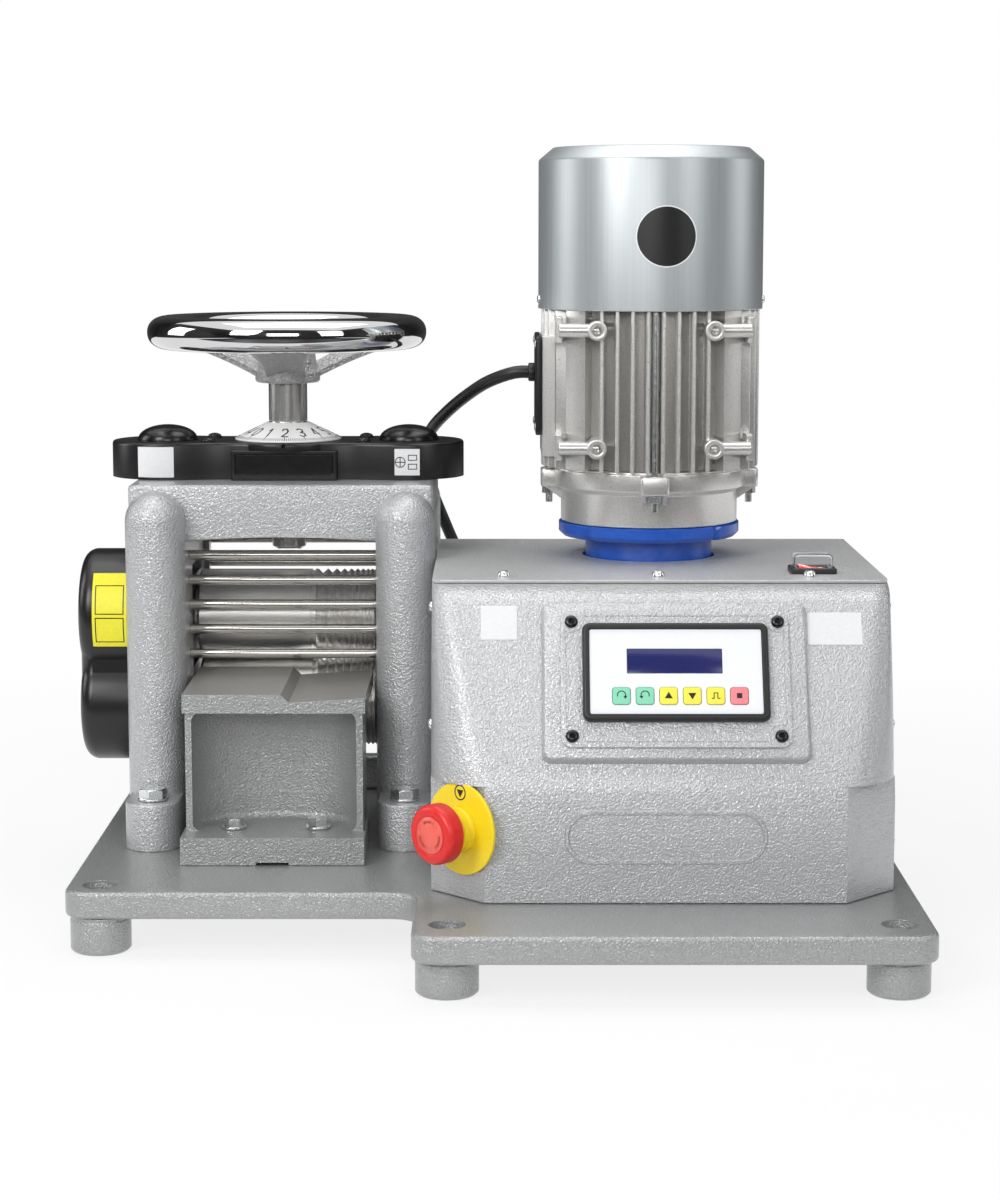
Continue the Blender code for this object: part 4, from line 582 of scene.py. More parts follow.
def smooth_points(route, step):
    points = [Vector(p) for p in route]
    padded = [points[0] * 2 - points[1], *points, points[-1] * 2 - points[-2]]
    result = [points[0]]
    for a, b, c, d in zip(padded, padded[1:], padded[2:], padded[3:]):
        count = max(1, round((c - b).length / step))
        for i in range(1, count + 1):
            t = i / count
            bend = (2 * a - 5 * b + 4 * c - d) * t ** 2 + (3 * b - a - 3 * c + d) * t ** 3
            result.append(b + ((c - a) * t + bend) / 2)
    return result


def motor_lead():
    points = [p + SHIFT for p in smooth_points(lead_route(), 0.005)]
    curve = bpy.data.curves.new("motor_lead", "CURVE")
    curve.dimensions = "3D"
    curve.bevel_depth = 0.0045
    curve.bevel_resolution = 6
    curve.use_fill_caps = True
    spline = curve.splines.new("POLY")
    spline.points.add(len(points) - 1)
    for spot, place in zip(spline.points, points):
        spot.co = (*place, 1.0)
    spline.use_smooth = True
    curve.materials.append(RUBBER)
    lead = bpy.data.objects.new("motor_lead", curve)
    bpy.context.collection.objects.link(lead)
    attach(lead, "machine")
    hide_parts("motor_cable")
    gland = [(0.0047, 0.0), (0.0066, 0.0), (0.0066, 0.0038), (0.0056, 0.0044), (0.0047, 0.0044)]
    start, end = lead_route()[0], lead_route()[-1]
    for name, place, turn in (
        ("lead_relief_motor", start, Matrix.Rotation(-pi / 2, 4, "Y")),
        ("lead_relief_housing", end, Matrix.Rotation(-pi / 2, 4, "X")),
    ):
        body = moved(turned(softened(gland, 0.0006, 2), 48), Matrix.Translation(place) @ turn)
        piece(name, body, BLACK_PLASTIC)


# Base plate, feet and frame

def base_plate():
    left, right, back = -0.131, 0.425, 0.140
    corners = [(left, back), (left, -0.245), (0.0995, -0.245), (0.0995, -0.352), (right, -0.352), (right, back)]
    signs = [(1, -1), (1, 1), (1, 1), (1, 1), (-1, 1), (-1, -1)]

    def outline(inset):
        moved_in = [(x + i * inset, y + j * inset) for (x, y), (i, j) in zip(corners, signs)]
        radii = [0.016 - inset, 0.016 - inset, 0.016 + inset, 0.016 - inset, 0.016 - inset, 0.016 - inset]
        return rounded(moved_in, radii, 8)

    slab = soft_prism(outline, -0.018, 0, 0.0028)
    holes = [shifted(cylinder(0.023, -0.022, 0.004, 48), x, y) for x, y in FEET]
    # The plate takes the darker hammertone copy: painted shade
    piece("plate", cut(slab, *holes), SHADED_HAMMER, stands_for="base_plate", bevel=0.0006, segments=2)


def hole_rings():
    """The pale ring that shows inside each hole of the plate."""
    ring = [(0.0045, -0.0085), (0.0108, -0.0085), (0.0108, -0.0050), (0.0045, -0.0050)]
    rings = [shifted(turned(softened(ring, 0.0005, 2), 48), x, y) for x, y in FEET]
    # The rings take the darker hammertone copy: painted shade
    piece("plate_rings", merged(*rings), SHADED_HAMMER, stands_for="base_plate")


FEET = [(-0.109, -0.223), (0.1215, -0.322), (0.403, -0.322), (-0.109, 0.118), (0.403, 0.118)]
FOOT_NAMES = ["foot_front_left", "foot_front_middle", "foot_front_right", "foot_rear_left", "foot_rear_right"]


def feet():
    profile = softened([
        (0.0045, 0), (0.0182, 0), (0.020, 0.0018), (0.020, 0.0215), (0.0195, 0.0222), (0.0195, 0.0229),
        (0.020, 0.0236), (0.020, 0.025), (0.0045, 0.025),
    ], 0.0005, 2)
    for name, (x, y) in zip(FOOT_NAMES, FEET):
        foot = shifted(turned(profile, 72), x, y, -0.018 - CLEAR - 0.025)
        # The feet take the darker hammertone copy: painted shade
        piece(name + "_soft", foot, SHADED_HAMMER, stands_for=name)


def quarter_dome(radius, base_z, top_z, steps=12):
    height = top_z - base_z
    turns = [i * pi / 2 / steps for i in range(steps + 1)]
    return [(radius * cos(a) if i < steps else 0, base_z + height * sin(a)) for i, a in enumerate(turns)]


def mill_frame():
    radius = COLUMN_D / 2
    parts = []
    column = [
        (0, CLEAR), (radius - 0.001, CLEAR), (radius, 0.0013),
        *quarter_dome(radius, COLUMN_Y + 0.146, 0.246),
    ]
    for side in (-1, 1):
        for end in (-1, 1):
            parts.append(shifted(turned(column, 96), side * CHEEK_X, end * COLUMN_Y))

            def boss(inset, side=side, end=end):
                half = 0.019 - inset
                tail = [(half, -0.0325), (-half, -0.0325)]
                shape = arc((0, 0), half, pi, 2 * pi, 32) + [(x, -y) for x, y in tail]
                shape = [(x, -end * y) for x, y in shape]
                return [(x + side * CHEEK_X, y + end * BOSS_Y) for x, y in shape]

            parts.append(soft_prism(boss, CLEAR, 0.033, 0.0016, bottom=False))
    piece("frame_columns", merged(*parts), HAMMER, stands_for="mill_frame")

    cheeks = []
    for side in (-1, 1):
        cheek = prism(rectangle(0.040, 2 * COLUMN_Y, (side * CHEEK_X, 0)), CLEAR, 0.230)
        window = moved(prism(plate_outline(0.0626, 0.1346, 0.003, (0, 0.1203)), -0.03, 0.03), ON_SIDE)
        hole = cylinder(0.0246, 0.18, 0.26, 48)
        cheeks.append(cut(cheek, shifted(window, side * CHEEK_X), shifted(hole, side * CHEEK_X)))
    piece("frame_cheeks", merged(*cheeks), HAMMER, stands_for="mill_frame", bevel=0.0006)

    def head_outline(inset):
        return plate_outline(2 * (0.1075 - inset), 2 * (0.075 - inset), 0.004, steps=6)

    head = soft_prism(head_outline, 0.210, FRAME_TOP, 0.003)
    sag, reach = 0.003, CHEEK_IN
    bow = (reach ** 2 + sag ** 2) / (2 * sag)
    half = acos((bow - sag) / bow)
    arch = arc((0, 0.213 - bow), bow, pi / 2 - half, pi / 2 + half, 24)
    head = cut(head, moved(prism(arch, -0.1, 0.1), ON_FRONT), cylinder(0.0226, 0.2, 0.26, 48),
               shifted(cylinder(0.0246, 0.2, 0.26, 48), -CHEEK_X), shifted(cylinder(0.0246, 0.2, 0.26, 48), CHEEK_X))
    piece("crosshead", head, HAMMER, stands_for="mill_frame", bevel=0.0008)

    tie = prism(rectangle(2 * CHEEK_X, 0.016, (0, COLUMN_Y)), CLEAR, 0.026)
    piece("frame_tie", tie, HAMMER, stands_for="mill_frame", bevel=0.0025, segments=4)
    pins = [shifted(cylinder(0.010, 0.246, 0.2703, 32), side * 0.0385) for side in (-1, 1)]
    piece("idler_pins", merged(*pins), ROD_STEEL, stands_for="mill_frame", bevel=0.0005)


def hex_head(across, height, crown=0.93, steps=48):
    """A hexagon whose top corners are turned off to a cone."""
    hexagon = prism([(across / 2 / cos(pi / 6) * cos(i * pi / 3), across / 2 / cos(pi / 6) * sin(i * pi / 3))
                     for i in range(6)], 0, height)
    corner = across / 2 / cos(pi / 6)
    cone = turned([
        (0, -0.001), (corner + 0.001, -0.001), (corner + 0.001, height - (corner + 0.001 - across / 2 * crown) * 0.55),
        (across / 2 * crown, height), (0, height),
    ], steps)
    return cut(hexagon, cone, operation="INTERSECT")


def bolt(name, x, y, z, across=0.017, height=0.0065, washer=0.021, turn=0.0):
    low = z + CLEAR
    ring = turned(softened([(0, 0), (washer / 2, 0), (washer / 2, 0.0016), (0, 0.0016)], 0.0004, 2), 64)
    head = shifted(moved(hex_head(across, height), z_turn(turn)), z=0.0016)
    both = shifted(merged(ring, head), x, y, low)
    piece(name + "_head", both, ZINC, stands_for=name, bevel=0.0003, segments=2, sharp=25)


def bolts():
    bolt("frame_bolt_left", -CHEEK_X, -BOSS_Y, 0.033, turn=0.35)
    bolt("frame_bolt_right", CHEEK_X, -BOSS_Y, 0.033, turn=0.15)
    bolt("table_bolt_left", -0.029, -0.140, 0.019, across=0.0125, height=0.0058, washer=0.0175, turn=0.2)
    bolt("table_bolt_right", 0.029, -0.140, 0.019, across=0.0125, height=0.0058, washer=0.0175, turn=0.45)


# Rolls

def groove_points(radius):
    left = -ROLL_FACE / 2
    points = [
        (left + 0.082, radius), (left + 0.082, radius - 0.0012),
        (left + 0.0842, radius - 0.0012), (left + 0.0842, radius),
    ]
    x = left + 0.0842 + 0.0018
    for i in range(9):
        width = 0.0068 * 0.88 ** i
        points += [(x, radius), (x + width / 2, radius - width / 2), (x + width, radius)]
        x += width + 0.00045
    return points


def roll(name, axis_z, right_end, body):
    face, radius, journal, shaft = ROLL_FACE / 2, ROLL_D / 2, 0.018, 0.014
    left_end = -0.140
    profile = [
        (left_end, 0), (left_end, shaft - 0.0015), (left_end + 0.0015, shaft), (-CHEEK_OUT, shaft),
        (-CHEEK_OUT, journal), (-face, journal), (-face, radius - 0.0015), (-face + 0.0015, radius),
        *groove_points(radius), (face - 0.0015, radius), (face, radius - 0.0015), (face, journal),
        (CHEEK_OUT - CLEAR, journal),
    ]
    if right_end > CHEEK_OUT:
        profile += [(CHEEK_OUT - CLEAR, shaft), (right_end, shaft), (right_end, 0)]
    else:
        profile += [(CHEEK_OUT - CLEAR, 0)]
    solid = moved(turned([(r, x) for x, r in profile], 144), ON_SIDE)
    piece(name + "_turned", shifted(solid, z=axis_z), ROLL_STEEL, body, stands_for=name,
          bevel=0.00012, segments=2, sharp=30)


def rolling_train():
    roll("lower_roll", LOWER_Z, 0.1675, "lower_roll_shaft")
    roll("upper_roll", UPPER_Z, 0, "upper_roll_shaft")
    keep(CAST_IRON, "lower_chock_left", "lower_chock_right", "upper_chock_left", "upper_chock_right",
         "lower_roll_gear", "upper_roll_gear", "drive_coupling", "screw_gear_left", "screw_gear_right",
         "idler_gear_left", "idler_gear_right")
    keep(ROD_STEEL, "pressure_screw_left", "pressure_screw_right")


def guards():
    for i in range(5):
        rod = moved(turned(softened([(0, -0.0680), (0.0036, -0.0680), (0.0036, 0.0680), (0, 0.0680)], 0.0006, 3),
                           48), ON_SIDE)
        piece(f"guard_{i + 1}_bright", shifted(rod, 0, -0.050, 0.1262 + 0.0178 * i), ROD_STEEL,
              stands_for=f"guard_rod_{i + 1}")
    bars = []
    for side in (-1, 1):
        plate = prism(plate_outline(0.012, 0.0832, 0.004, (0, 0.0356)), 0, 0.004)
        bars.append(shifted(moved(plate, ON_SIDE), 0.0637 if side > 0 else -0.0677))
    rods = [shifted(moved(cylinder(0.0065, -0.065, 0.065, 40), ON_SIDE), 0, 0, i * 0.0178) for i in range(5)]
    piece("rear_guard_bright", shifted(merged(*bars, *rods), 0, 0.050, 0.1262), ROD_STEEL, stands_for="rear_guard",
          bevel=0.0005)


# Handwheel, spindle, dial

def spindle():
    nut_top = 0.2112
    profile = [
        (0, nut_top - 0.014), (0.0108, nut_top - 0.014), (0.0125, nut_top - 0.0125), (0.0125, nut_top),
        (0.011, nut_top), (0.011, 0.2503), (0.014, 0.2503), (0.014, 0.2895), (0.01385, 0.2897), (0.01385, 0.2903),
        (0.014, 0.2905), (0.014, 0.3177), (0.010, 0.3177), (0.010, 0.3452), (0.0092, 0.346), (0.0062, 0.346),
        (0.0050, 0.3452), (0.0, 0.3452),
    ]
    piece("spindle_turned", turned(profile, 96), SPINDLE_STEEL, "handwheel_shaft", stands_for="spindle",
          bevel=0.00015, segments=2, sharp=30)
    pinion = prism(gear_outline(16, 0.00275), 0.2503, 0.267)
    piece("spindle_pinion", pinion, CAST_IRON, "handwheel_shaft", stands_for="spindle",
          bevel=0.0003, segments=1)
    pins = [shifted(cylinder(0.0034, nut_top - 0.0152, nut_top - 0.012, 24), x) for x in (-0.0072, 0.0072)]
    piece("nut_pins", merged(*pins), INK, "handwheel_shaft", stands_for="spindle", bevel=0.0003)


def gear_outline(teeth, module):
    pitch = 2 * pi / teeth
    root, tip = module * (teeth / 2 - 1.0), module * (teeth / 2 + 0.72)
    root_half, tip_half = pitch * (0.80 - 0.22) / 2, pitch * 0.22 / 2
    points = []
    for i in range(teeth):
        middle = i * pitch
        for radius, turn in ((root, -root_half), (tip, -tip_half), (tip, tip_half), (root, root_half)):
            points.append((radius * cos(middle + turn), radius * sin(middle + turn)))
    return points


def handwheel():
    hub_z, rim_z, radius = 0.318, 0.3546, 0.086
    section = []
    for i in range(40):
        a = 2 * pi * i / 40
        x, z = cos(a), sin(a)
        section.append((radius + 0.015 * copysign(abs(x) ** 0.9, x), rim_z + 0.012 * copysign(abs(z) ** 0.9, z)))
    rim = turned(section, 160)
    piece("wheel_rim", rim, CHROME, "handwheel_shaft", stands_for="handwheel", sharp=60)
    hub = turned(softened([
        (0.0103, hub_z), (0.0220, hub_z), (0.0235, 0.3195), (0.0235, 0.3255), (0.0218, 0.3275), (0.0205, 0.336),
        (0.0196, 0.344), (0.0185, 0.348), (0.0103, 0.348),
    ], 0.0012, 3), 96)
    piece("wheel_hub", hub, ROUGH_SILVER, "handwheel_shaft", stands_for="handwheel", sharp=50)
    spokes = []
    for i in range(3):
        rings = []
        for k in range(25):
            share = k / 24
            x = 0.014 + (radius - 0.014) * share
            half = 0.014 + 0.014 * share ** 2
            z = 0.3195 + (0.3465 - 0.3195) * share + 0.0015 * sin(pi * share)
            ring = []
            for j in range(25):
                u = -1 + 2 * j / 24
                crown = 0.0095 - 0.0045 * abs(u) ** 1.4
                ring.append((x, u * half, z + crown))
            for j in range(25):
                u = 1 - 2 * j / 24
                dip = 0.0035 * (1 - abs(u)) ** 0.8
                ring.append((x, u * half, z + dip + (0.0015 if abs(u) > 0.98 else 0)))
            rings.append(ring)
        spokes.append(moved(loft(rings), z_turn(-pi / 2 + 2 * pi * i / 3)))
    piece("wheel_spokes", merged(*spokes), ROUGH_SILVER, "handwheel_shaft", stands_for="handwheel",
          sharp=50)


DIGITS = {
    "0": [[(0.5, 1), (0.12, 0.85), (0.0, 0.5), (0.12, 0.15), (0.5, 0), (0.88, 0.15), (1, 0.5), (0.88, 0.85), (0.5, 1)]],
    "1": [[(0.2, 0.75), (0.55, 1), (0.55, 0)]],
    "2": [[(0.03, 0.78), (0.2, 0.97), (0.7, 1), (0.95, 0.75), (0.8, 0.5), (0.0, 0.0), (1.0, 0.0)]],
    "3": [[(0.05, 0.9), (0.4, 1), (0.85, 0.9), (0.85, 0.62), (0.4, 0.53), (0.95, 0.4), (0.95, 0.1), (0.5, 0), (0.03, 0.12)]],
    "4": [[(0.75, 0), (0.75, 1), (0.0, 0.3), (1.0, 0.3)]],
    "5": [[(0.9, 1), (0.15, 1), (0.08, 0.55), (0.6, 0.62), (0.97, 0.4), (0.85, 0.08), (0.4, 0), (0.03, 0.1)]],
    "6": [[(0.85, 0.95), (0.4, 0.95), (0.05, 0.5), (0.1, 0.1), (0.5, 0), (0.92, 0.15), (0.9, 0.48), (0.5, 0.58), (0.08, 0.42)]],
    "7": [[(0.0, 1), (1, 1), (0.4, 0)]],
    "8": [[(0.5, 0.54), (0.12, 0.72), (0.2, 0.95), (0.5, 1), (0.8, 0.95), (0.88, 0.72), (0.5, 0.54), (0.05, 0.3),
           (0.12, 0.06), (0.5, 0), (0.88, 0.06), (0.95, 0.3), (0.5, 0.54)]],
    "9": [[(0.15, 0.05), (0.6, 0.05), (0.95, 0.5), (0.9, 0.9), (0.5, 1), (0.08, 0.85), (0.1, 0.52), (0.5, 0.42), (0.92, 0.58)]],
}


def strokes(lines, width, thickness, place):
    """Flat inked strokes along lines. place(x, y, lift) gives the point on the surface."""
    bm = bmesh.new()
    for line in lines:
        points = [Vector(p) for p in line]
        for a, b in zip(points, points[1:]):
            along = (b - a).normalized() * width * 0.3
            side = Vector((-along.y, along.x)).normalized() * width / 2
            corners = [a - along - side, b + along - side, b + along + side, a - along + side]
            low = [bm.verts.new(place(p.x, p.y, 0)) for p in corners]
            high = [bm.verts.new(place(p.x, p.y, thickness)) for p in corners]
            bm.faces.new(low[::-1])
            bm.faces.new(high)
            for i in range(4):
                bm.faces.new((low[i], low[(i + 1) % 4], high[(i + 1) % 4], high[i]))
    bmesh.ops.recalc_face_normals(bm, faces=bm.faces)
    return bm


def dial():
    low = COVER_TOP + CLEAR
    slope = [(0.0385, low + 0.0014), (0.0155, low + 0.0125)]
    profile = [(0.0144, low), (0.0385, low), slope[0], slope[1], (0.0144, low + 0.0125)]
    piece("dial_cone", turned(softened(profile, 0.0004, 2), 160), DIAL_WHITE, "handwheel_shaft", stands_for="dial",
          sharp=40)
    fall = (slope[1][1] - slope[0][1]) / (slope[0][0] - slope[1][0])

    def on_cone(turn):
        def place(x, y, lift):
            radius = 0.0155 + y
            z = slope[1][1] - y * fall
            a = turn + x / radius
            return Vector((radius * cos(a), radius * sin(a), z - 0.00005 + lift))
        return place

    inked = []
    numbers, parts = 15, 10
    for i in range(numbers * parts):
        turn = -pi / 2 + 2 * pi * (i / parts - 2) / numbers
        length, width = (0.0040, 0.0006) if i % parts == 0 else (0.0028, 0.0004)
        inked.append(strokes([[(0, 0.0226 - length), (0, 0.0226)]], width, 0.0001, on_cone(turn)))
        if i % parts:
            continue
        word = str(i // parts)
        for k, digit in enumerate(word):
            centre = (k - (len(word) - 1) / 2) * 0.0060
            lines = [[(centre + (u - 0.5) * 0.0044, 0.0174 - v * 0.0098) for u, v in line] for line in DIGITS[digit]]
            inked.append(strokes(lines, 0.0012, 0.0001, on_cone(turn)))
    piece("dial_marks", merged(*inked), INK, "handwheel_shaft", stands_for="dial")


# Covers

def bone_outline(inset):
    lobe, waist = 0.040, 0.0035
    right = [(CHEEK_X + x, y) for x, y in arc((0, 0), lobe - inset, -pi / 2, pi / 2, 36)]
    top = []
    for i in range(1, 48):
        x = CHEEK_X * (1 - 2 * i / 48)
        top.append((x, lobe - waist + waist * cos(2 * pi * x / CHEEK_X) - inset))
    return right + top + [(-x, -y) for x, y in right] + [(-x, -y) for x, y in top]


def top_cover():
    low = FRAME_TOP + CLEAR
    shell = soft_prism(bone_outline, low, COVER_TOP, 0.0022, bottom=False)
    inside = prism(bone_outline(0.003), low - 0.002, COVER_TOP - 0.003)
    shell = cut(shell, inside, cylinder(0.032, low, COVER_TOP + 0.01, 64))
    piece("cover_shell", shell, BLACK, stands_for="top_cover")
    lip_low = COVER_TOP - 0.0067
    block = prism(plate_outline(0.076, 0.084, 0.0015), low, lip_low + 0.0015)
    hollow = prism(rectangle(0.070, 0.078), low - 0.002, COVER_TOP - 0.009)
    front = moved(prism(plate_outline(0.070, 0.0150, 0.0012, (0, 0.2612)), -0.0430, -0.0408), ON_FRONT)
    piece("cover_block", cut(block, hollow, front, cylinder(0.05, low - 0.01, 0.3, 48)), BLACK, stands_for="top_cover",
          bevel=0.0008)
    window = moved(prism(plate_outline(0.069, 0.0140, 0.001, (0, 0.2612)), -0.0412, -0.0402), ON_FRONT)
    piece("cover_window", window, GLOSS_BLACK, stands_for="top_cover", bevel=0.0003)
    lip = turned(softened([(0.0165, lip_low), (0.044, lip_low), (0.044, COVER_TOP - CLEAR), (0.0165, COVER_TOP - CLEAR)],
                          0.0015, 4), 128)
    pointer = prism([(-0.0016, -0.0445), (0.0016, -0.0445), (0.0, -0.0395)], COVER_TOP - 0.003, COVER_TOP + 0.002)
    piece("cover_lip", cut(lip, pointer), BLACK, stands_for="top_cover")
    domes, caps = [], []
    for side in (-1, 1):
        dome = turned([(0, COVER_TOP - 0.001), (0.0222, COVER_TOP - 0.001), (0.0222, COVER_TOP + 0.0006),
                       *quarter_dome(0.0215, COVER_TOP + 0.0006, COVER_TOP + 0.011, 14)], 96)
        domes.append(shifted(dome, side * CHEEK_X))
        for y in (-0.021, 0.021):
            cap = turned([(0, COVER_TOP - 0.001), (0.0052, COVER_TOP - 0.001), (0.0052, COVER_TOP + 0.0008),
                          *quarter_dome(0.0048, COVER_TOP + 0.001, COVER_TOP + 0.0032, 6)], 40)
            caps.append(shifted(cap, side * 0.056, y))
    piece("cover_domes", merged(*domes), GLOSS_BLACK, stands_for="top_cover")
    piece("cover_caps", merged(*caps), GLOSS_BLACK, stands_for="top_cover")


def wrapped_label(name, material, node_name, radius, turns, low, high, place):
    """A thin blank label round part of an upright cylinder."""
    steps = 12
    angles = [radians(turns[0] + (turns[1] - turns[0]) * i / steps) for i in range(steps + 1)]
    outline = [(r * sin(a), -r * cos(a)) for r, run in ((radius + 0.0003, angles), (radius - 0.0003, angles[::-1]))
               for a in run]
    piece(name, moved(prism(outline, low, high), place), material, stands_for=node_name, bevel=0.0001, segments=1)


def cover_labels():
    for name, x, turns, low, high in (
        ("label_left", -CHEEK_X, (-25, 17), 0.2520, 0.2738), ("label_right", CHEEK_X, (-15, 13), 0.2535, 0.2725),
    ):
        wrapped_label(name, LABEL_WHITE, "top_cover", 0.040, turns, low, high, Matrix.Translation((x, 0, 0)))
    lying = Matrix(((0, 0, 1, 0), (0, 1, 0, 0), (-1, 0, 0, 0), (0, 0, 0, 1)))
    wrapped_label("label_yellow", LABEL_YELLOW, "side_gear_cover", 0.046, (-44, 26), -0.1390, -0.1140,
                  Matrix.Translation((0, 0, LOWER_Z + 0.067)) @ lying)


def fine(line, step=0.0012):
    """The line with so many points that it follows a round surface."""
    points = [Vector(line[0])]
    for a, b in zip(line, line[1:]):
        a, b = Vector(a), Vector(b)
        count = max(1, round((b - a).length / step))
        points += [a.lerp(b, i / count) for i in range(1, count + 1)]
    return points


def label_drawings():
    """Plain working signs on the labels: a wheel beside a pair of rolls, and two empty frames."""
    def on_lobe(x, y, lift):
        turn = x / 0.0403
        return Vector((CHEEK_X + 0.0403 * sin(turn) - 0.0005, -(0.0403 + lift) * cos(turn), 0.2630 + y))

    wheel = [(0.0036 * cos(2 * pi * k / 24) - 0.0045, 0.0036 * sin(2 * pi * k / 24)) for k in range(25)]
    lines = [wheel, [(-0.0081, 0), (-0.0009, 0)], [(-0.0045, -0.0036), (-0.0045, 0.0036)]]
    for low in (-0.0050, 0.0014):
        lines.append([(0.0014, low), (0.0074, low), (0.0074, low + 0.0036), (0.0014, low + 0.0036), (0.0014, low)])
    piece("sign_wheel", strokes([fine(line) for line in lines], 0.0006, 0.0001, on_lobe), INK, stands_for="top_cover")

    radius, middle = 0.0463, LOWER_Z + 0.067

    def on_cover(x, y, lift):
        turn = y / radius
        return Vector((-0.1265 + x, -(radius + lift) * cos(turn), middle + radius * sin(turn)))

    frames = []
    for low, high in ((0.0040, 0.0250), (-0.0170, 0.0010)):
        frames.append([(-0.0100, low), (0.0100, low), (0.0100, high), (-0.0100, high), (-0.0100, low)])
    piece("sign_frames", strokes([fine(line) for line in frames], 0.0007, 0.0001, on_cover), INK,
          stands_for="side_gear_cover")


def side_outline(inset, steps=28):
    low, high = 0.043 - inset, 0.046 - inset
    waist = 0.034 - inset
    low_end, high_end = acos(waist / low), acos(waist / high)
    right = arc((0, 0), low, -pi / 2, low_end, steps) + arc((0, 0.067), high, -high_end, pi / 2, steps)
    return right + [(-y, z) for y, z in right[-2:0:-1]]


def side_cover():
    near, far, soft = -CHEEK_OUT - CLEAR, -0.1503, 0.010
    rings = [[(near, y, z) for y, z in side_outline(0)]]
    for k in range(11):
        a = pi / 2 * k / 10
        rings.append([(far + soft * (1 - sin(a)), y, z) for y, z in side_outline(soft * (1 - cos(a)))])
    rings.append([(far + 0.003, y, z) for y, z in side_outline(0.012)])
    rings.append([(far + soft, y, z) for y, z in side_outline(0.003)])
    rings.append([(near, y, z) for y, z in side_outline(0.003)])
    cover = shifted(loft(rings, closed=True), z=LOWER_Z)
    cap = shifted(loft([[(far + 0.0004, y, z) for y, z in side_outline(0.0098)],
                        [(far + 0.003, y, z) for y, z in side_outline(0.0098)]]), z=LOWER_Z)
    piece("gear_cover_shell", merged(cover, cap), BLACK, stands_for="side_gear_cover")


# Feed table

def feed_table():
    base_front, front, body_front = -0.172, -0.151, -0.1495
    back, under, top = -0.036, 0.101, 0.114
    base = prism(rectangle(0.125, 0.068, (0, base_front + 0.034)), CLEAR, 0.019)
    side = [
        (body_front, 0.010), (-0.104, 0.010), (-0.104, under - 0.015),
        *arc((-0.089, under - 0.015), 0.015, pi, pi / 2, 8)[1:-1], (-0.089, under), (-0.089, under + 0.004),
        (body_front, under + 0.004),
    ]
    web = moved(prism(side, -0.0607, 0.0607), ON_SIDE)
    bend = 2 / 2.3
    turns = [2 * pi * k / 96 for k in range(96)]
    shape = [(copysign(abs(cos(a)) ** bend, cos(a)), copysign(abs(sin(a)) ** bend, sin(a))) for a in turns]
    levels = [(0.0187 + 0.006 * (1 - cos(i * pi / 20)), 0.006 * (1 - sin(i * pi / 20))) for i in range(11)]
    levels += [(under + 0.0190 - z, inset) for z, inset in reversed(levels)]
    rings = [[((0.0562 - inset) * x, (0.041 - inset) * y + body_front, z) for x, y in shape] for z, inset in levels]
    web = cut(web, loft(rings))
    plate = prism(rectangle(0.125, back - front, (0, (front + back) / 2)), under, top)
    block = cut(web, base, plate, operation="UNION")
    edge = 0.0665
    recess = [(0.005, 0.118), (0.005, top), (0.0105, top - 0.0055), (0.0625, top - 0.0023), (edge, top - 0.0021),
              (edge, 0.118)]
    recess_cut = moved(prism(recess, -0.176, -0.032), ON_FRONT)
    notch_cut = moved(prism(rectangle(0.022, 0.0042), -0.176, -0.100), ON_FRONT)
    body = cut(block, recess_cut, notch_cut)
    # The casting takes the darker hammertone copy: painted shade; its machined top keeps its own grey
    piece("table_casting", body, SHADED_HAMMER, stands_for="feed_table", bevel=0.0014, segments=3,
          sharp=38, second=PLAIN_GREY, second_where=lambda c, n: n.z > 0.3 and c.z > 0.105)


# Control housing

LEDGE_Z = 0.0755
SHOULDER_H, SHOULDER_D = 0.010, 0.014


def front_y(z):
    top = LID_Z - 0.0023
    share = max(0.0, (z - 0.060) / (top - 0.060))
    return -HOUSING_FRONT + (HOUSING_FRONT - HOUSING_TOP_FRONT) * share ** 1.3


def shoulder(z):
    """How far the front draws back where it rounds over under the lid."""
    share = min(1.0, max(0.0, (z - LID_Z + 0.0023 + SHOULDER_H) / SHOULDER_H))
    return SHOULDER_D * (1 - sqrt(1 - share ** 2))


def housing_corner(z, inset, steps=14):
    x, y = HOUSING_RIGHT - inset, front_y(z) + shoulder(z) + inset
    if z < LEDGE_Z:
        size = 0.035 - inset * (2 - sqrt(2))
        return [(x - size * (1 - i / steps), y + size * i / steps) for i in range(steps + 1)]
    share = (z - LEDGE_Z) / (LID_Z - 0.0023 - LEDGE_Z)
    radius = max(0.042 + (0.012 - 0.042) * share - inset, 0.002)
    return arc((x - radius, y + radius), radius, -pi / 2, 0, steps)


def housing_path(z, inset, back):
    right = housing_corner(z, inset) + [(HOUSING_RIGHT - inset, back)]
    return [(2 * MOTOR_X - x, y) for x, y in reversed(right)] + right


LEAN = atan2(front_y(0.192) - front_y(0.083), 0.192 - 0.083)
PANEL_X = MOTOR_X + 0.007


def on_panel():
    """Local X runs right, Y up the slope and Z out of the leaning pad's face."""
    z, y = (0.083 + 0.192) / 2, (front_y(0.083) + front_y(0.192)) / 2
    place = Vector((PANEL_X, y, z)) + Vector((0, -cos(LEAN), sin(LEAN))) * 0.007
    return Matrix.Translation(place) @ Matrix.Rotation(pi / 2 - LEAN, 4, "X")


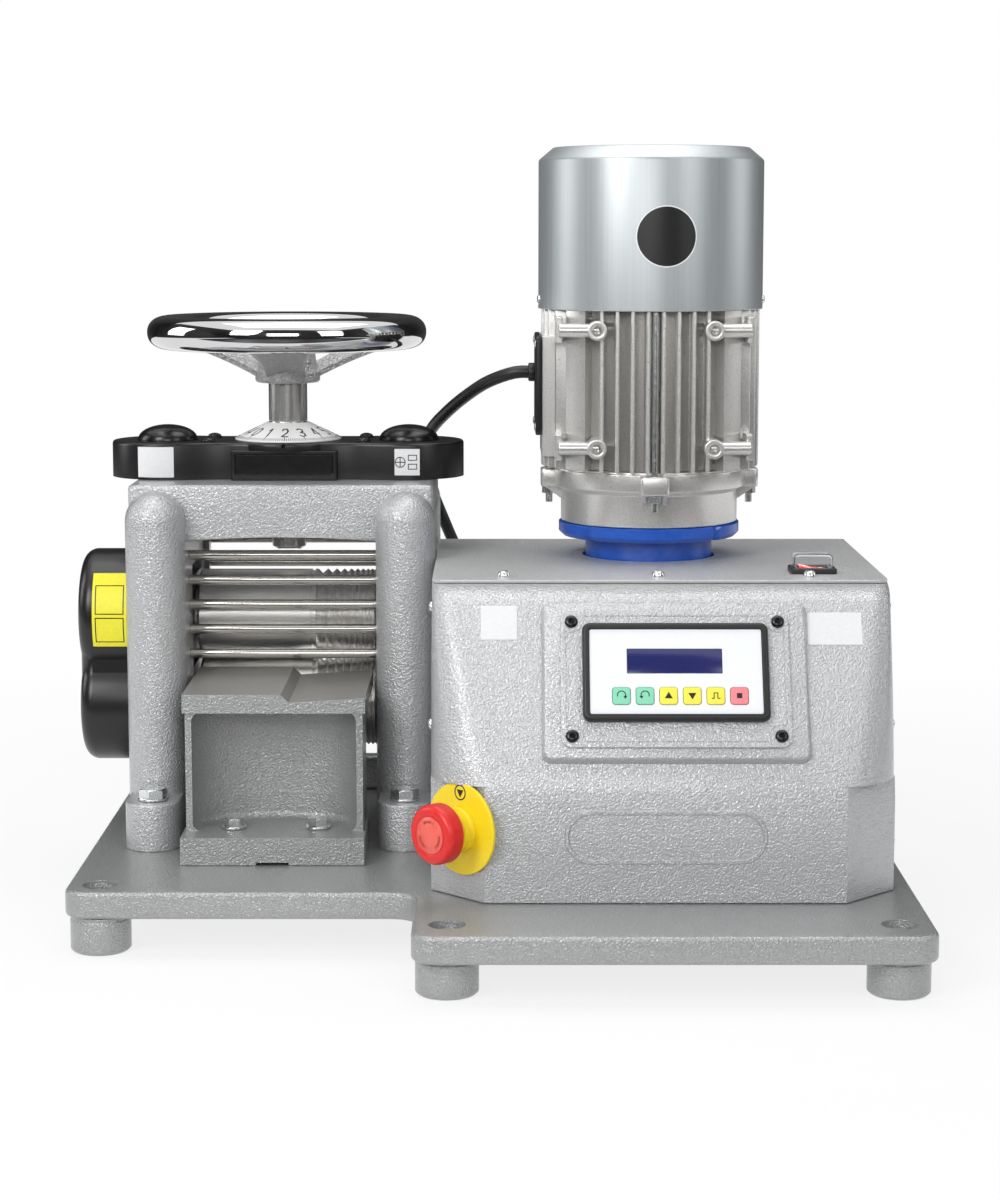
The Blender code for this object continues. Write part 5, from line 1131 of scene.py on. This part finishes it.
def front_cover():
    back, top = HOUSING_BACK - 0.0023, LID_Z - 0.0023
    round_z = top - SHOULDER_H
    levels = [CLEAR, 0.001, 0.030, 0.060, LEDGE_Z - 0.0005, LEDGE_Z, 0.083]
    levels += [0.083 + (round_z - 0.083) * i / 20 for i in range(1, 21)]
    levels += [round_z + SHOULDER_H * sin(i * pi / 20) for i in range(1, 11)]
    rings = []
    for z in levels:
        soft = 0.0007 if z == CLEAR else 0.0
        path = housing_path(z, soft, back) + list(reversed(housing_path(z, 0.004, back)))
        rings.append([(x, y, z) for x, y in path])
    hole = shifted(moved(cylinder(0.044, 0.105, 0.118, 48), ON_SIDE), z=LOWER_Z)
    piece("housing_shell", cut(loft(rings), hole), HAMMER, stands_for="front_cover", sharp=30)

    pad = []
    for inset, z in ((-0.0020, -0.009), (-0.0016, -0.0063), (-0.0006, -0.0030), (0.0, -0.0012), (0.0005, -0.0004),
                     (0.0014, 0.0)):
        outline = plate_outline(0.170 - 2 * inset, 0.106 - 2 * inset, 0.005 - min(inset, 0.002), steps=8)
        pad.append([(x, y, z) for x, y in outline])
    piece("housing_pad", moved(loft(pad), on_panel()), HAMMER, stands_for="front_cover", sharp=50)

    # An embossed outline with round ends, left blank, under the panel
    section = [(0.0016, 0), (0.0009, 0.0012), (-0.0009, 0.0012), (-0.0016, 0)]
    rings = []
    for side in (1, -1):
        for k in range(49):
            a = pi * k / 48 - side * pi / 2
            x, z = MOTOR_X + side * 0.0475, 0.0437
            rings.append([(x + (0.016 + s) * cos(a), front_y(z + (0.016 + s) * sin(a)) - h + 0.0001,
                           z + (0.016 + s) * sin(a)) for s, h in section])
    piece("oval_relief", loft(rings, closed=True), HAMMER, stands_for="front_cover")


def screw_head(diameter, height, cross=True):
    """A pan head with a cross recess, or a button head with a hexagon socket."""
    radius = diameter / 2
    points = [(0, height)] if cross else [(0, height)]
    profile = [(0, -0.0006), (radius, -0.0006), (radius, 0.0003)]
    profile += [(radius * cos(a) ** 0.6 if a < pi / 2 else 0, 0.0003 + (height - 0.0003) * sin(a))
                for a in [pi / 2 * k / 10 for k in range(1, 11)]]
    head = turned(profile, 48)
    if cross:
        arm = diameter * 0.30
        slots = [prism(rectangle(2 * arm, diameter * 0.10), height * 0.45, height + 0.002),
                 prism(rectangle(diameter * 0.10, 2 * arm), height * 0.45, height + 0.002)]
        return cut(head, *slots)
    socket = prism([(diameter * 0.24 * cos(k * pi / 3), diameter * 0.24 * sin(k * pi / 3)) for k in range(6)],
                   height * 0.35, height + 0.002)
    return cut(head, socket)


def slope_label(name, left, right, low, high):
    rows = [low + (high - low) * i / 6 for i in range(7)]
    rings = [[(left, front_y(z) - 0.0003, z), (right, front_y(z) - 0.0003, z), (right, front_y(z) + 0.0003, z),
              (left, front_y(z) + 0.0003, z)] for z in rows]
    piece(name, loft(rings), LABEL_WHITE, stands_for="front_cover", bevel=0.0001, segments=1)


def housing_screws():
    slope_label("label_housing_left", 0.1420, 0.1655, 0.1640, 0.1845)
    slope_label("label_housing_right", 0.3545, 0.3900, 0.1610, 0.1805)
    heads = []
    for side, y, z in ((-1, -0.188, 0.180), (-1, -0.215, 0.106), (-1, 0.0, 0.106), (1, -0.188, 0.180),
                       (1, -0.215, 0.106), (1, -0.225, 0.030), (1, 0.0, 0.106)):
        x = HOUSING_LEFT if side < 0 else HOUSING_RIGHT
        place = Matrix.Translation((x, y, z)) @ Matrix.Rotation(side * pi / 2, 4, "Y")
        heads.append(moved(screw_head(0.0075, 0.0022), place))
    piece("housing_screws", merged(*heads), ZINC, stands_for="front_cover", bevel=0.0001, segments=1)
    tops = [shifted(moved(screw_head(0.0087, 0.0042), z_turn(0.4 + i)), x, -0.176, LID_Z)
            for i, x in enumerate((0.157, 0.260, 0.361))]
    piece("lid_screws", merged(*tops), ZINC, stands_for="housing_lid", bevel=0.0001, segments=1)


def housing_lid():
    top, thick = LID_Z, 0.002
    front, back = -HOUSING_TOP_FRONT + SHOULDER_D, HOUSING_BACK
    outer = [(back - 0.003 + 0.003 * cos(a), top - 0.003 + 0.003 * sin(a)) for a in
             [k * pi / 2 / 8 for k in range(9)]]
    inner = [(back - 0.003 + 0.001 * cos(a), top - 0.003 + 0.001 * sin(a)) for a in
             [pi / 2 - k * pi / 2 / 8 for k in range(9)]]
    side = [(back, CLEAR), *outer, (front + 0.0006, top), (front, top - 0.0005), (front, top - thick + 0.0003),
            (front + 0.0004, top - thick), *inner, (back - thick, CLEAR)]
    sheet = moved(prism(side, HOUSING_LEFT, HOUSING_RIGHT), ON_SIDE)
    neck = shifted(cylinder(0.094, 0.19, 0.21, 96), MOTOR_X, MOTOR_Y)
    slot = shifted(prism(plate_outline(0.028, 0.021, 0.001), 0.19, 0.21), 0.3655, -0.152)
    sheet = cut(sheet, neck, slot)
    keep_in = prism([(HOUSING_LEFT - 0.01, 0.1), (HOUSING_RIGHT + 0.01, 0.1), (HOUSING_RIGHT + 0.01, -0.2),
                     *arc((HOUSING_RIGHT - 0.008, front + 0.008), 0.008, 0, -pi / 2, 8),
                     *arc((HOUSING_LEFT + 0.008, front + 0.008), 0.008, -pi / 2, -pi, 8),
                     (HOUSING_LEFT - 0.01, -0.2)], -0.01, 0.3)
    piece("lid_sheet", cut(sheet, keep_in, operation="INTERSECT"), FINE_HAMMER, stands_for="housing_lid",
          bevel=0.0004, segments=2, second=LID_EDGE,
          second_where=lambda c, n: c.y < front + 0.001 and n.z < 0.5)


def panel():
    lay = on_panel()

    def plate_at(inset):
        w, h, r = 0.148 / 2 - inset, 0.092 / 2 - inset, 0.007
        return rounded([(-w, -h), (w, -h), (w, h), (-w, h)], max(r - inset, 0.001), 10)

    plate = soft_prism(plate_at, CLEAR, CLEAR + 0.002, 0.0006, bottom=False)
    far_x, far_y = 0.0669, 0.0386
    spots = [(x, y) for x in (-far_x, far_x) for y in (-far_y, far_y)]

    def groove(inset):
        """A border that steps round each screw."""
        w, h, scoop = 0.0708 - inset, 0.0428 - inset, 0.0070 + inset
        points = []
        for x, y in ((far_x, far_y), (-far_x, far_y), (-far_x, -far_y), (far_x, -far_y)):
            sx, sy = copysign(1, x), copysign(1, y)
            a_in = acos((w - abs(x)) / scoop)
            b_in = asin(min(1.0, (h - abs(y)) / scoop))
            first = atan2(-sy * sin(a_in), sx * cos(a_in))
            last = atan2(sy * sin(b_in), -sx * cos(b_in))
            if (sx > 0) == (sy > 0):
                a0, a1 = first, last
            else:
                a0, a1 = last, first
            while a1 > a0:
                a1 -= 2 * pi
            if a0 - a1 > pi * 1.2:
                a0 -= 2 * pi
            points += [(x + scoop * cos(a0 + (a1 - a0) * k / 12), y + scoop * sin(a0 + (a1 - a0) * k / 12))
                       for k in range(13)]
        return points

    border = cut(prism(groove(0.0), 0.00185, 0.004), prism(groove(0.0008), 0.001, 0.005))
    plate = cut(plate, border)
    piece("panel_sheet", moved(plate, lay), HAMMER, stands_for="panel_plate", sharp=40)
    heads = [moved(shifted(screw_head(0.0086, 0.0024, cross=False), x, y, 0.0023), lay) for x, y in spots]
    piece("panel_screws", merged(*heads), GLOSS_BLACK, stands_for="panel_plate", bevel=0.0002,
          segments=2)

    deck, up = 0.0026, 0.0035

    def frame_at(inset):
        return plate_outline(0.120 - 2 * inset, 0.066 - 2 * inset, 0.005 - min(inset, 0.004), (0, up), 10)

    frame = soft_prism(frame_at, deck, deck + 0.0055, 0.0022, steps=6, bottom=False)
    well = prism(plate_outline(0.1116, 0.0576, 0.0015, (0, up)), deck - 0.004, deck + 0.010)
    piece("bezel_frame", moved(cut(frame, well), lay), BLACK_PLASTIC, stands_for="panel_bezel",
          bevel=0.0005)
    face = deck + 0.004
    sheet = prism(plate_outline(0.1110, 0.0570, 0.0014, (0, up)), deck, face)
    places = [((i - 2.5) * 0.0151 + 0.0025, up - 0.0165) for i in range(6)]
    holes = [prism(plate_outline(0.0120, 0.0120, 0.0023, place), deck - 0.001, face + 0.001) for place in places]
    screen = prism(plate_outline(0.0615, 0.0168, 0.0006, (-0.0008, up + 0.0070)), face - 0.0006, face + 0.001)
    piece("keypad_sheet", moved(cut(sheet, *holes, screen), lay), KEYPAD, stands_for="keypad",
          bevel=0.00015, segments=2)
    display = soft_prism(lambda i: plate_outline(0.0615 - 2 * i, 0.0168 - 2 * i, 0.0006, (-0.0008, up + 0.0070)),
                         face - 0.0012, face + 0.00015, 0.0002, steps=2)
    piece("display_window", moved(display, lay), DISPLAY, stands_for="keypad")
    words = ["forward", "reverse", "up", "down", "monitor", "stop"]
    colours = [GREEN, GREEN, KEY_YELLOW, KEY_YELLOW, KEY_YELLOW, PINK]
    slots = ["key_green", "key_green", "key_yellow", "key_yellow", "key_yellow", "key_pink"]
    top = face + 0.0007
    for word, colour, slot, (x, y) in zip(words, colours, slots, places):
        key = soft_prism(lambda i, x=x, y=y: plate_outline(0.0114 - 2 * i, 0.0114 - 2 * i, 0.0020 - i, (x, y)),
                         top - 0.003, top, 0.0005, steps=3)
        piece(f"key_{word}_cap", moved(key, lay), colour, f"{word}_key", stands_for=f"key_{word}")
    flat = lay @ Matrix.Translation((0, 0, top))

    def sign(name, word, lines, width, index, solid=None):
        x, y = places[index]
        place = lambda u, v, lift: flat @ Vector((x + u, y + v, lift - 0.00002))
        made = strokes(lines, width, 0.00008, place) if lines else bmesh.new()
        if solid:
            made = merged(made, moved(prism([(x + u, y + v) for u, v in solid], -0.00002, 0.00008), flat))
        piece(name, made, INK, f"{word}_key", stands_for=f"key_{word}")

    for index, word, mirror in ((0, "forward", 1), (1, "reverse", -1)):
        bow = [(mirror * (0.0026 * cos(a)), 0.0005 + 0.0026 * sin(a)) for a in
               [radians(200) - radians(220) * k / 14 for k in range(15)]]
        tip = bow[-1]
        head = [(tip[0] - mirror * 0.0013, tip[1] + 0.0002), (tip[0] + mirror * 0.0013, tip[1] + 0.0002),
                (tip[0] - mirror * 0.0002, tip[1] - 0.0018)]
        sign(f"sign_{word}", word, [bow], 0.0006, index, head if mirror > 0 else head[::-1])
    sign("sign_up", "up", [], 0, 2, [(-0.0026, -0.0018), (0.0026, -0.0018), (0, 0.0026)])
    sign("sign_down", "down", [], 0, 3, [(-0.0026, 0.0018), (0, -0.0026), (0.0026, 0.0018)])
    sign("sign_monitor", "monitor", [[(-0.0026, -0.0018), (-0.0012, -0.0018), (-0.0012, 0.0018), (0.0012, 0.0018),
                                      (0.0012, -0.0018), (0.0026, -0.0018)]], 0.0006, 4)
    sign("sign_stop", "stop", [], 0, 5, rectangle(0.0034, 0.0034))


# Stop button and switch

def stop_matrix():
    along = 0.0175 + 0.0055 / sqrt(2)
    across = 0.0175 - 0.0055 / sqrt(2)
    place = Vector((HOUSING_LEFT + along, -HOUSING_FRONT + across, 0.0466))
    return Matrix.Translation(place) @ z_turn(-pi / 4) @ Matrix.Rotation(pi / 2, 4, "X")


def stop_button():
    lay = stop_matrix()
    top = CLEAR + 0.0025
    disc = turned(softened([(0.0081, CLEAR), (0.030, CLEAR), (0.030, top), (0.0081, top)], 0.0007, 3), 96)
    piece("stop_disc", moved(disc, lay), YELLOW, stands_for="stop_plate")
    collar = turned(softened([
        (0.0081, top - 0.0002), (0.0150, top - 0.0002), (0.0150, top + 0.0032), (0.0140, top + 0.0038),
        (0.0140, top + 0.0090), (0.0128, top + 0.0100), (0.0081, top + 0.0100),
    ], 0.0005, 3), 72)
    piece("stop_collar", moved(collar, lay), YELLOW, stands_for="stop_plate")
    sign = turned([(0.0042, top - 0.0001), (0.0051, top - 0.0001), (0.0051, top + 0.0001), (0.0042, top + 0.0001)], 48)
    wedge = prism([(-0.0030, 0.0018), (0, -0.0034), (0.0030, 0.0018)], top - 0.0001, top + 0.0001)
    piece("stop_sign", moved(shifted(merged(sign, wedge), 0, 0.0238), lay), INK, stands_for="stop_plate")
    head_low = top + 0.010 + 0.004 + CLEAR
    head_top = head_low + 0.013
    rim = 0.0195
    profile = [
        (0, CLEAR + 0.004), (0.0078, CLEAR + 0.004), (0.0080, CLEAR + 0.0043), (0.0080, head_low),
        (rim - 0.0022, head_low), *[(rim - 0.0022 + 0.0022 * sin(a), head_low + 0.0022 * (1 - cos(a)))
                                    for a in [pi / 2 * k / 6 for k in range(1, 7)]],
        (rim - 0.0001, head_low + 0.0065),
        *[(rim - 0.0045 + 0.0045 * cos(a), head_top - 0.0042 + 0.0042 * sin(a)) for a in
          [pi / 2 * k / 10 for k in range(1, 11)]],
        (0.0125, head_top - 0.0002), (0.0122, head_top - 0.0006), (0.0119, head_top - 0.0002), (0, head_top),
    ]
    ribs = []
    head = turned(profile, 144)
    piece("stop_head", moved(head, lay), RED, "stop_knob", stands_for="stop_button", sharp=60,
          second=PALE_RED, second_where=lambda c, n: (lay.inverted() @ c).to_2d().length < 0.0119 and
          (lay.inverted() @ c).z > head_top - 0.001)
    for turn in range(3):
        bow = [(0.0090 * cos(a), 0.0090 * sin(a)) for a in
               [radians(100) - radians(62) * k / 10 for k in range(11)]]
        tip = Vector(bow[-1])
        along = (tip - Vector(bow[-2])).normalized()
        side = Vector((-along.y, along.x))
        head_sign = [tip - side * 0.0021, tip + along * 0.0036, tip + side * 0.0021]
        spin = z_turn(turn * 2 * pi / 3 + 0.5)
        place = lambda u, v, lift, spin=spin: lay @ (spin @ Vector((u, v, head_top - 0.0001 + lift)))
        line = strokes([bow], 0.0017, 0.0002, place)
        tri = moved(prism([(p.x, p.y) for p in head_sign], head_top - 0.0001, head_top + 0.0001), lay @ spin)
        ribs.append(merged(line, tri))
    piece("stop_arrows", merged(*ribs), PALE_RED, "stop_knob", stands_for="stop_button")


def rocker_switch():
    x, y, low = 0.3655, -0.152, LID_Z + CLEAR

    def flange_at(inset):
        return plate_outline(0.031 - 2 * inset, 0.024 - 2 * inset, 0.00175 - min(inset, 0.001), (x, y), 8)

    flange = soft_prism(flange_at, low, low + 0.0035, 0.0012, steps=5, bottom=False)
    body = prism(rectangle(0.0275, 0.0205, (x, y)), low - 0.013, low + 0.001)
    well = prism(plate_outline(0.0205, 0.0135, 0.0006, (x, y)), low - 0.0095, low + 0.01)
    shell = cut(flange, well)
    under = cut(body, prism(rectangle(0.0205, 0.0135, (x, y)), low - 0.0095, low + 0.01))
    piece("switch_frame", merged(shell, under), BLACK_PLASTIC, stands_for="switch_bezel",
          bevel=0.0003)
    half, half_d = 0.00965, 0.00645
    tilt = half * tan(radians(8))
    upper = [(half - 0.0005, 0.003 - 0.0001)]
    for k in range(13):
        u = 1 - 2 * k / 12
        upper.append((u * (half - 0.0009), 0.003 - tilt / 2 * (1 - abs(u) ** 1.6)))
    side = [(-half * 0.75, -0.005), (half * 0.75, -0.005), (half, -0.00125), (half, 0.0026), *upper[1:],
            (-half, 0.0026), (-half, -0.00125)]
    rocker = moved(prism(side, -half_d, half_d), ON_FRONT)
    rocker = moved(rocker, Matrix.Rotation(radians(8), 4, "Y"))
    piece("rocker_key", shifted(rocker, x, y, low + 0.0035 - 0.003), ROCKER_RED, "rocker",
          stands_for="switch_rocker", bevel=0.0004)
    def boot_at(inset):
        return plate_outline(0.0262 - 2 * inset, 0.0192 - 2 * inset, 0.0032 - min(inset, 0.002), (x, y), 8)

    boot = soft_prism(boot_at, low + 0.0034, low + 0.0125, 0.0028, steps=5, bottom=False)
    hollow = soft_prism(lambda inset: boot_at(inset + 0.0007), low + 0.0030, low + 0.0118, 0.0024, steps=5, bottom=False)
    clear = piece("switch_boot", cut(boot, hollow), CLEAR_BOOT, stands_for="switch_bezel")
    clear.visible_shadow = False
    tip = Matrix.Translation((x, y, low + 0.0005)) @ Matrix.Rotation(radians(8), 4, "Y")
    place = lambda u, v, lift: tip @ Vector((u, v, 0.0024 + lift))
    bar = strokes([[(-0.0062, -0.0022), (-0.0062, 0.0022)]], 0.0009, 0.0005, place)
    ring = strokes([[(0.0062 + 0.0018 * cos(a), 0.0018 * sin(a)) for a in [2 * pi * k / 24 for k in range(25)]]],
                   0.0008, 0.0005, place)
    piece("rocker_signs", merged(bar, ring), WHITE_INK, "rocker", stands_for="switch_rocker")


# Gearbox and motor

def gearbox():
    keep(BLUE, "gearbox", bevel=0.0006)
    flange = []
    steps = 192
    rim = 0.064
    for radius_in, z in ((0.0032, 0), (0.0006, 0.0024), (0.0, 0.0032), (0.0, 0.0095), (0.0007, 0.0102)):
        ring = []
        for k in range(steps):
            a = 2 * pi * k / steps
            gap = min(abs((a - pi / 4 - q * pi / 2 + pi) % (2 * pi) - pi) for q in range(4))
            dip = 0.0030 * (1 - min(1, max(0, gap * rim - 0.0028) / 0.0012)) if z >= 0 else 0
            radius = rim - radius_in - dip
            ring.append((radius * cos(a), radius * sin(a), FLANGE_Z + z))
        flange.append(ring)
    neck = turned([(0, 0.150), (0.045, 0.150), (0.045, FLANGE_Z + 0.001), (0, FLANGE_Z + 0.001)], 96)
    piece("gearbox_flange", shifted(merged(loft(flange), neck), MOTOR_X, MOTOR_Y), BLUE, stands_for="gearbox",
          sharp=30)
    case = moved(turned(softened([(0, -0.038), (0.038, -0.038), (0.038, 0.038), (0, 0.038)], 0.003, 4), 96), ON_SIDE)
    foot = prism(plate_outline(0.060, 0.056, 0.004, (0, -0.014)), CLEAR, 0.0553)
    worm = shifted(cylinder(0.058, 0.0277, 0.154, 96), 0, MOTOR_Y)
    whole = shifted(merged(shifted(case, 0, 0, LOWER_Z), foot, worm), MOTOR_X)
    piece("gearbox_case", whole, BLUE, stands_for="gearbox", bevel=0.0008)


def end_shield():
    low, rim, rim_z = 0.0625, 0.068, SHIELD_Z + 0.024
    body = turned(softened([
        (0, SHIELD_Z), (low - 0.0006, SHIELD_Z), (low, SHIELD_Z + 0.0006), (low, rim_z - 0.0015),
        (rim, rim_z + 0.0015), (rim, SHIELD_Z + 0.0372), (rim - 0.0008, SHIELD_Z + 0.0378), (rim - 0.0008, SHIELD_Z + 0.039),
        (0, SHIELD_Z + 0.039),
    ], 0.0008, 3), 144)
    lugs, gussets, nuts = [], [], []
    for i in range(4):
        def lug_at(inset):
            return plate_outline(0.0185 - 2 * inset, 0.020 - 2 * inset, 0.003, (low + 0.00525, 0), 6)

        lug = soft_prism(lug_at, rim_z, rim_z + 0.013, 0.0012, steps=3)
        web = [(low - 0.002, rim_z - 0.008), (low + 0.0005, rim_z - 0.008), (0.0755, rim_z + 0.001),
               (low - 0.002, rim_z + 0.001)]
        for y in (-0.0085, 0.0058):
            gussets.append(moved(moved(prism(web, y, y + 0.0027), ON_FRONT), z_turn(i * pi / 2)))
        nut = shifted(hex_head(0.0088, 0.0050), low + 0.0085, 0, rim_z - 0.0051)
        stud = shifted(cylinder(0.0048, rim_z - 0.0115, rim_z, 32), low + 0.0085)
        nuts.append(moved(merged(nut, stud), z_turn(i * pi / 2)))
        lugs.append(moved(lug, z_turn(i * pi / 2)))
    whole = shifted(merged(body, *lugs, *gussets), MOTOR_X, MOTOR_Y)
    piece("shield_casting", whole, CAST_ALU, stands_for="end_shield", bevel=0.0005, sharp=40)
    piece("shield_nuts", shifted(merged(*nuts), MOTOR_X, MOTOR_Y), ZINC, stands_for="end_shield",
          bevel=0.0002, segments=2, sharp=25)


def stator_outline(shrink=0.0):
    tip, core, pitch, thick = 0.077, 0.062, 0.0104, 0.0028
    quarter = []
    first = -pitch * 3.5
    for i in range(8):
        x = first + i * pitch
        half = thick / 2
        quarter += [(x - half - 0.0006, -sqrt(core ** 2 - x ** 2)), (x - half, -sqrt(core ** 2 - x ** 2) - 0.0008)]
        edge = sqrt(tip ** 2 - x ** 2) - shrink
        quarter += [(x - half + shrink * 0.3, -edge + 0.0007), (x - half + 0.0007, -edge), (x + half - 0.0007, -edge),
                    (x + half - shrink * 0.3, -edge + 0.0007)]
        quarter += [(x + half, -sqrt(core ** 2 - x ** 2) - 0.0008), (x + half + 0.0006, -sqrt(core ** 2 - x ** 2))]
    root_x = core * 0.69
    root_y = sqrt(core ** 2 - root_x ** 2)
    half_pad = pi / 4 - asin(0.62)
    quarter.append((root_x, -root_y))
    quarter += arc((0, 0), tip - shrink, -pi / 4 - half_pad, -pi / 4 + half_pad, 12)
    quarter.append((root_y, -root_x))
    points = []
    for turn in range(4):
        points += [tuple(Matrix.Rotation(turn * pi / 2, 2) @ Vector(p)) for p in quarter]
    return points


def motor_body():
    rings = [[(x, y, z) for x, y in stator_outline(shrink)] for shrink, z in
             ((0.0008, STATOR_Z), (0.0, STATOR_Z + 0.0008), (0.0, STATOR_TOP - 0.0008), (0.0008, STATOR_TOP))]
    piece("stator", shifted(loft(rings), MOTOR_X, MOTOR_Y), CAST_ALU, stands_for="motor_body",
          sharp=35)
    tip = 0.077
    extras, studs = [], []
    for z in (0.2795, 0.3600):
        for across in (-1, 1):
            ring = turned(softened([
                (0, 0.0413), (0.0067, 0.0413), (0.0067, tip + 0.0015), (0.0042, tip + 0.0015), (0.0036, tip + 0.0005),
                (0.0026, tip - 0.002), (0.0026, tip - 0.008), (0, tip - 0.008),
            ], 0.0006, 3), 64)
            ring = moved(ring, Matrix(((1, 0, 0, 0), (0, 0, -1, 0), (0, 1, 0, 0), (0, 0, 0, 1))))
            extras.append(shifted(ring, across * 0.040, 0, z))
            reach = moved(cylinder(0.0094, -0.0140, 0.0140, 40), ON_SIDE)
            extras.append(shifted(reach, across * 0.0520, -0.0672, z))
            web = prism(plate_outline(0.0270, 0.0200, 0.001, (across * 0.0525, -0.0570)), -0.0030, 0.0030)
            extras.append(shifted(web, 0, 0, z))
            bar = prism(plate_outline(0.0046, 0.032, 0.001, (across * 0.0655, -0.0480)), -0.0090, 0.0090)
            extras.append(shifted(bar, 0, 0, z))
    flat = prism(rectangle(0.0357, 0.072, (-0.05915, 0)), 0.271, 0.355)
    extras.append(flat)
    piece("stator_bosses", shifted(merged(*extras), MOTOR_X, MOTOR_Y), CAST_ALU, stands_for="motor_body",
          bevel=0.0008, sharp=40)
    for i in range(4):
        rod = shifted(cylinder(0.0050, STATOR_Z - 0.002, 0.3735, 40), 0.0705)
        studs.append(moved(rod, z_turn(-pi / 2 + i * pi / 2)))
    piece("stator_studs", shifted(merged(*studs), MOTOR_X, MOTOR_Y), ZINC, stands_for="motor_body")


def terminal_cover():
    def plate_at(inset):
        return plate_outline(0.080 - 2 * inset, 0.0690 - 2 * inset, 0.004 - min(inset, 0.002), steps=8)

    plate = moved(soft_prism(plate_at, 0, 0.004, 0.0012), ON_SIDE)
    left = MOTOR_X - 0.077 - CLEAR - 0.004
    heads = []
    for y in (-0.034, 0.034):
        for z in (-0.0290, 0.0290):
            head = moved(screw_head(0.0062, 0.0016), Matrix.Rotation(-pi / 2, 4, "Y"))
            heads.append(shifted(head, 0.0006, y, z))
    place = Matrix.Translation((left, MOTOR_Y, 0.3205))
    piece("terminal_plate", moved(plate, place), BLACK, stands_for="terminal_cover")
    piece("terminal_screws", moved(merged(*heads), place), ZINC, stands_for="terminal_cover")


def fan_cover():
    side, rim, wall = 0.079, 0.069, 0.0015
    low, shoulder, top = 0.373, 0.476, 0.485
    profile = [(0, top), (rim - 0.0012, top)]
    profile += [(rim - 0.0012 + 0.0022 * sin(a), top - 0.0022 * (1 - cos(a))) for a in (0.25, 0.5, 0.75)]
    profile += [(side - 0.0008, shoulder + 0.0009), (side - 0.0002, shoulder), (side, shoulder - 0.001),
                (side, low + 0.0005), (side - 0.0003, low), (side - wall, low), (side - wall, shoulder - 0.001),
                (rim - 0.001, top - wall), (0, top - wall)]
    body = turned(profile, 192)
    slots = []
    for row in range(2):
        inner = 0.020 + row * 0.022
        outer = inner + 0.012
        count = 6 + 2 * row
        half = pi / count - 0.006 / (inner + outer)
        for i in range(count):
            middle = 2 * pi * i / count
            outline = arc((0, 0), outer, middle - half, middle + half, 14)
            outline += arc((0, 0), inner, middle + half, middle - half, 10)
            slots.append(prism(outline, top - 0.004, top + 0.004))
    piece("fan_hood", shifted(cut(body, *slots), MOTOR_X, MOTOR_Y), ZINC_SHEET, stands_for="fan_cover",
          sharp=25)
    heads = []
    for a in (-174, -6, 84, 96):
        turn = Matrix.Rotation(radians(a), 4, "Z") @ Matrix.Translation((0.0788, 0, 0.3795)) @ \
            Matrix.Rotation(pi / 2, 4, "Y")
        heads.append(moved(screw_head(0.0062, 0.0016), turn))
    piece("hood_screws", shifted(merged(*heads), MOTOR_X, MOTOR_Y), ZINC, stands_for="fan_cover")
    for word, material, inner, outer in (("hood_disc", BLACK, 0.0, 0.0200), ("hood_ring", LABEL_WHITE, 0.0200, 0.0208)):
        low_y, high_y = side - 0.008, side + 0.0004
        outline = [(inner, low_y), (outer, low_y), (outer, high_y), (inner, high_y)]
        badge = shifted(moved(turned(outline, 96), Matrix.Rotation(pi / 2, 4, "X")), z=0.4235)
        badge = cut(badge, cylinder(2 * side + 0.0006, 0.39, 0.46, 256), operation="INTERSECT")
        badge = moved(cut(badge, cylinder(2 * side - 0.0006, 0.38, 0.47, 256)), z_turn(radians(4.7)))
        piece(word, shifted(badge, MOTOR_X, MOTOR_Y), material, stands_for="fan_cover", sharp=25)
    keep(BLACK_PLASTIC, "motor_rotor")


bpy.context.scene.view_settings.view_transform = "Standard"
camera()
motor_lead()
stage()
lights()
base_plate()
hole_rings()
feet()
mill_frame()
bolts()
rolling_train()
guards()
spindle()
handwheel()
dial()
top_cover()
side_cover()
cover_labels()
label_drawings()
feed_table()
front_cover()
housing_screws()
housing_lid()
panel()
stop_button()
rocker_switch()
gearbox()
end_shield()
motor_body()
terminal_cover()
fan_cover()
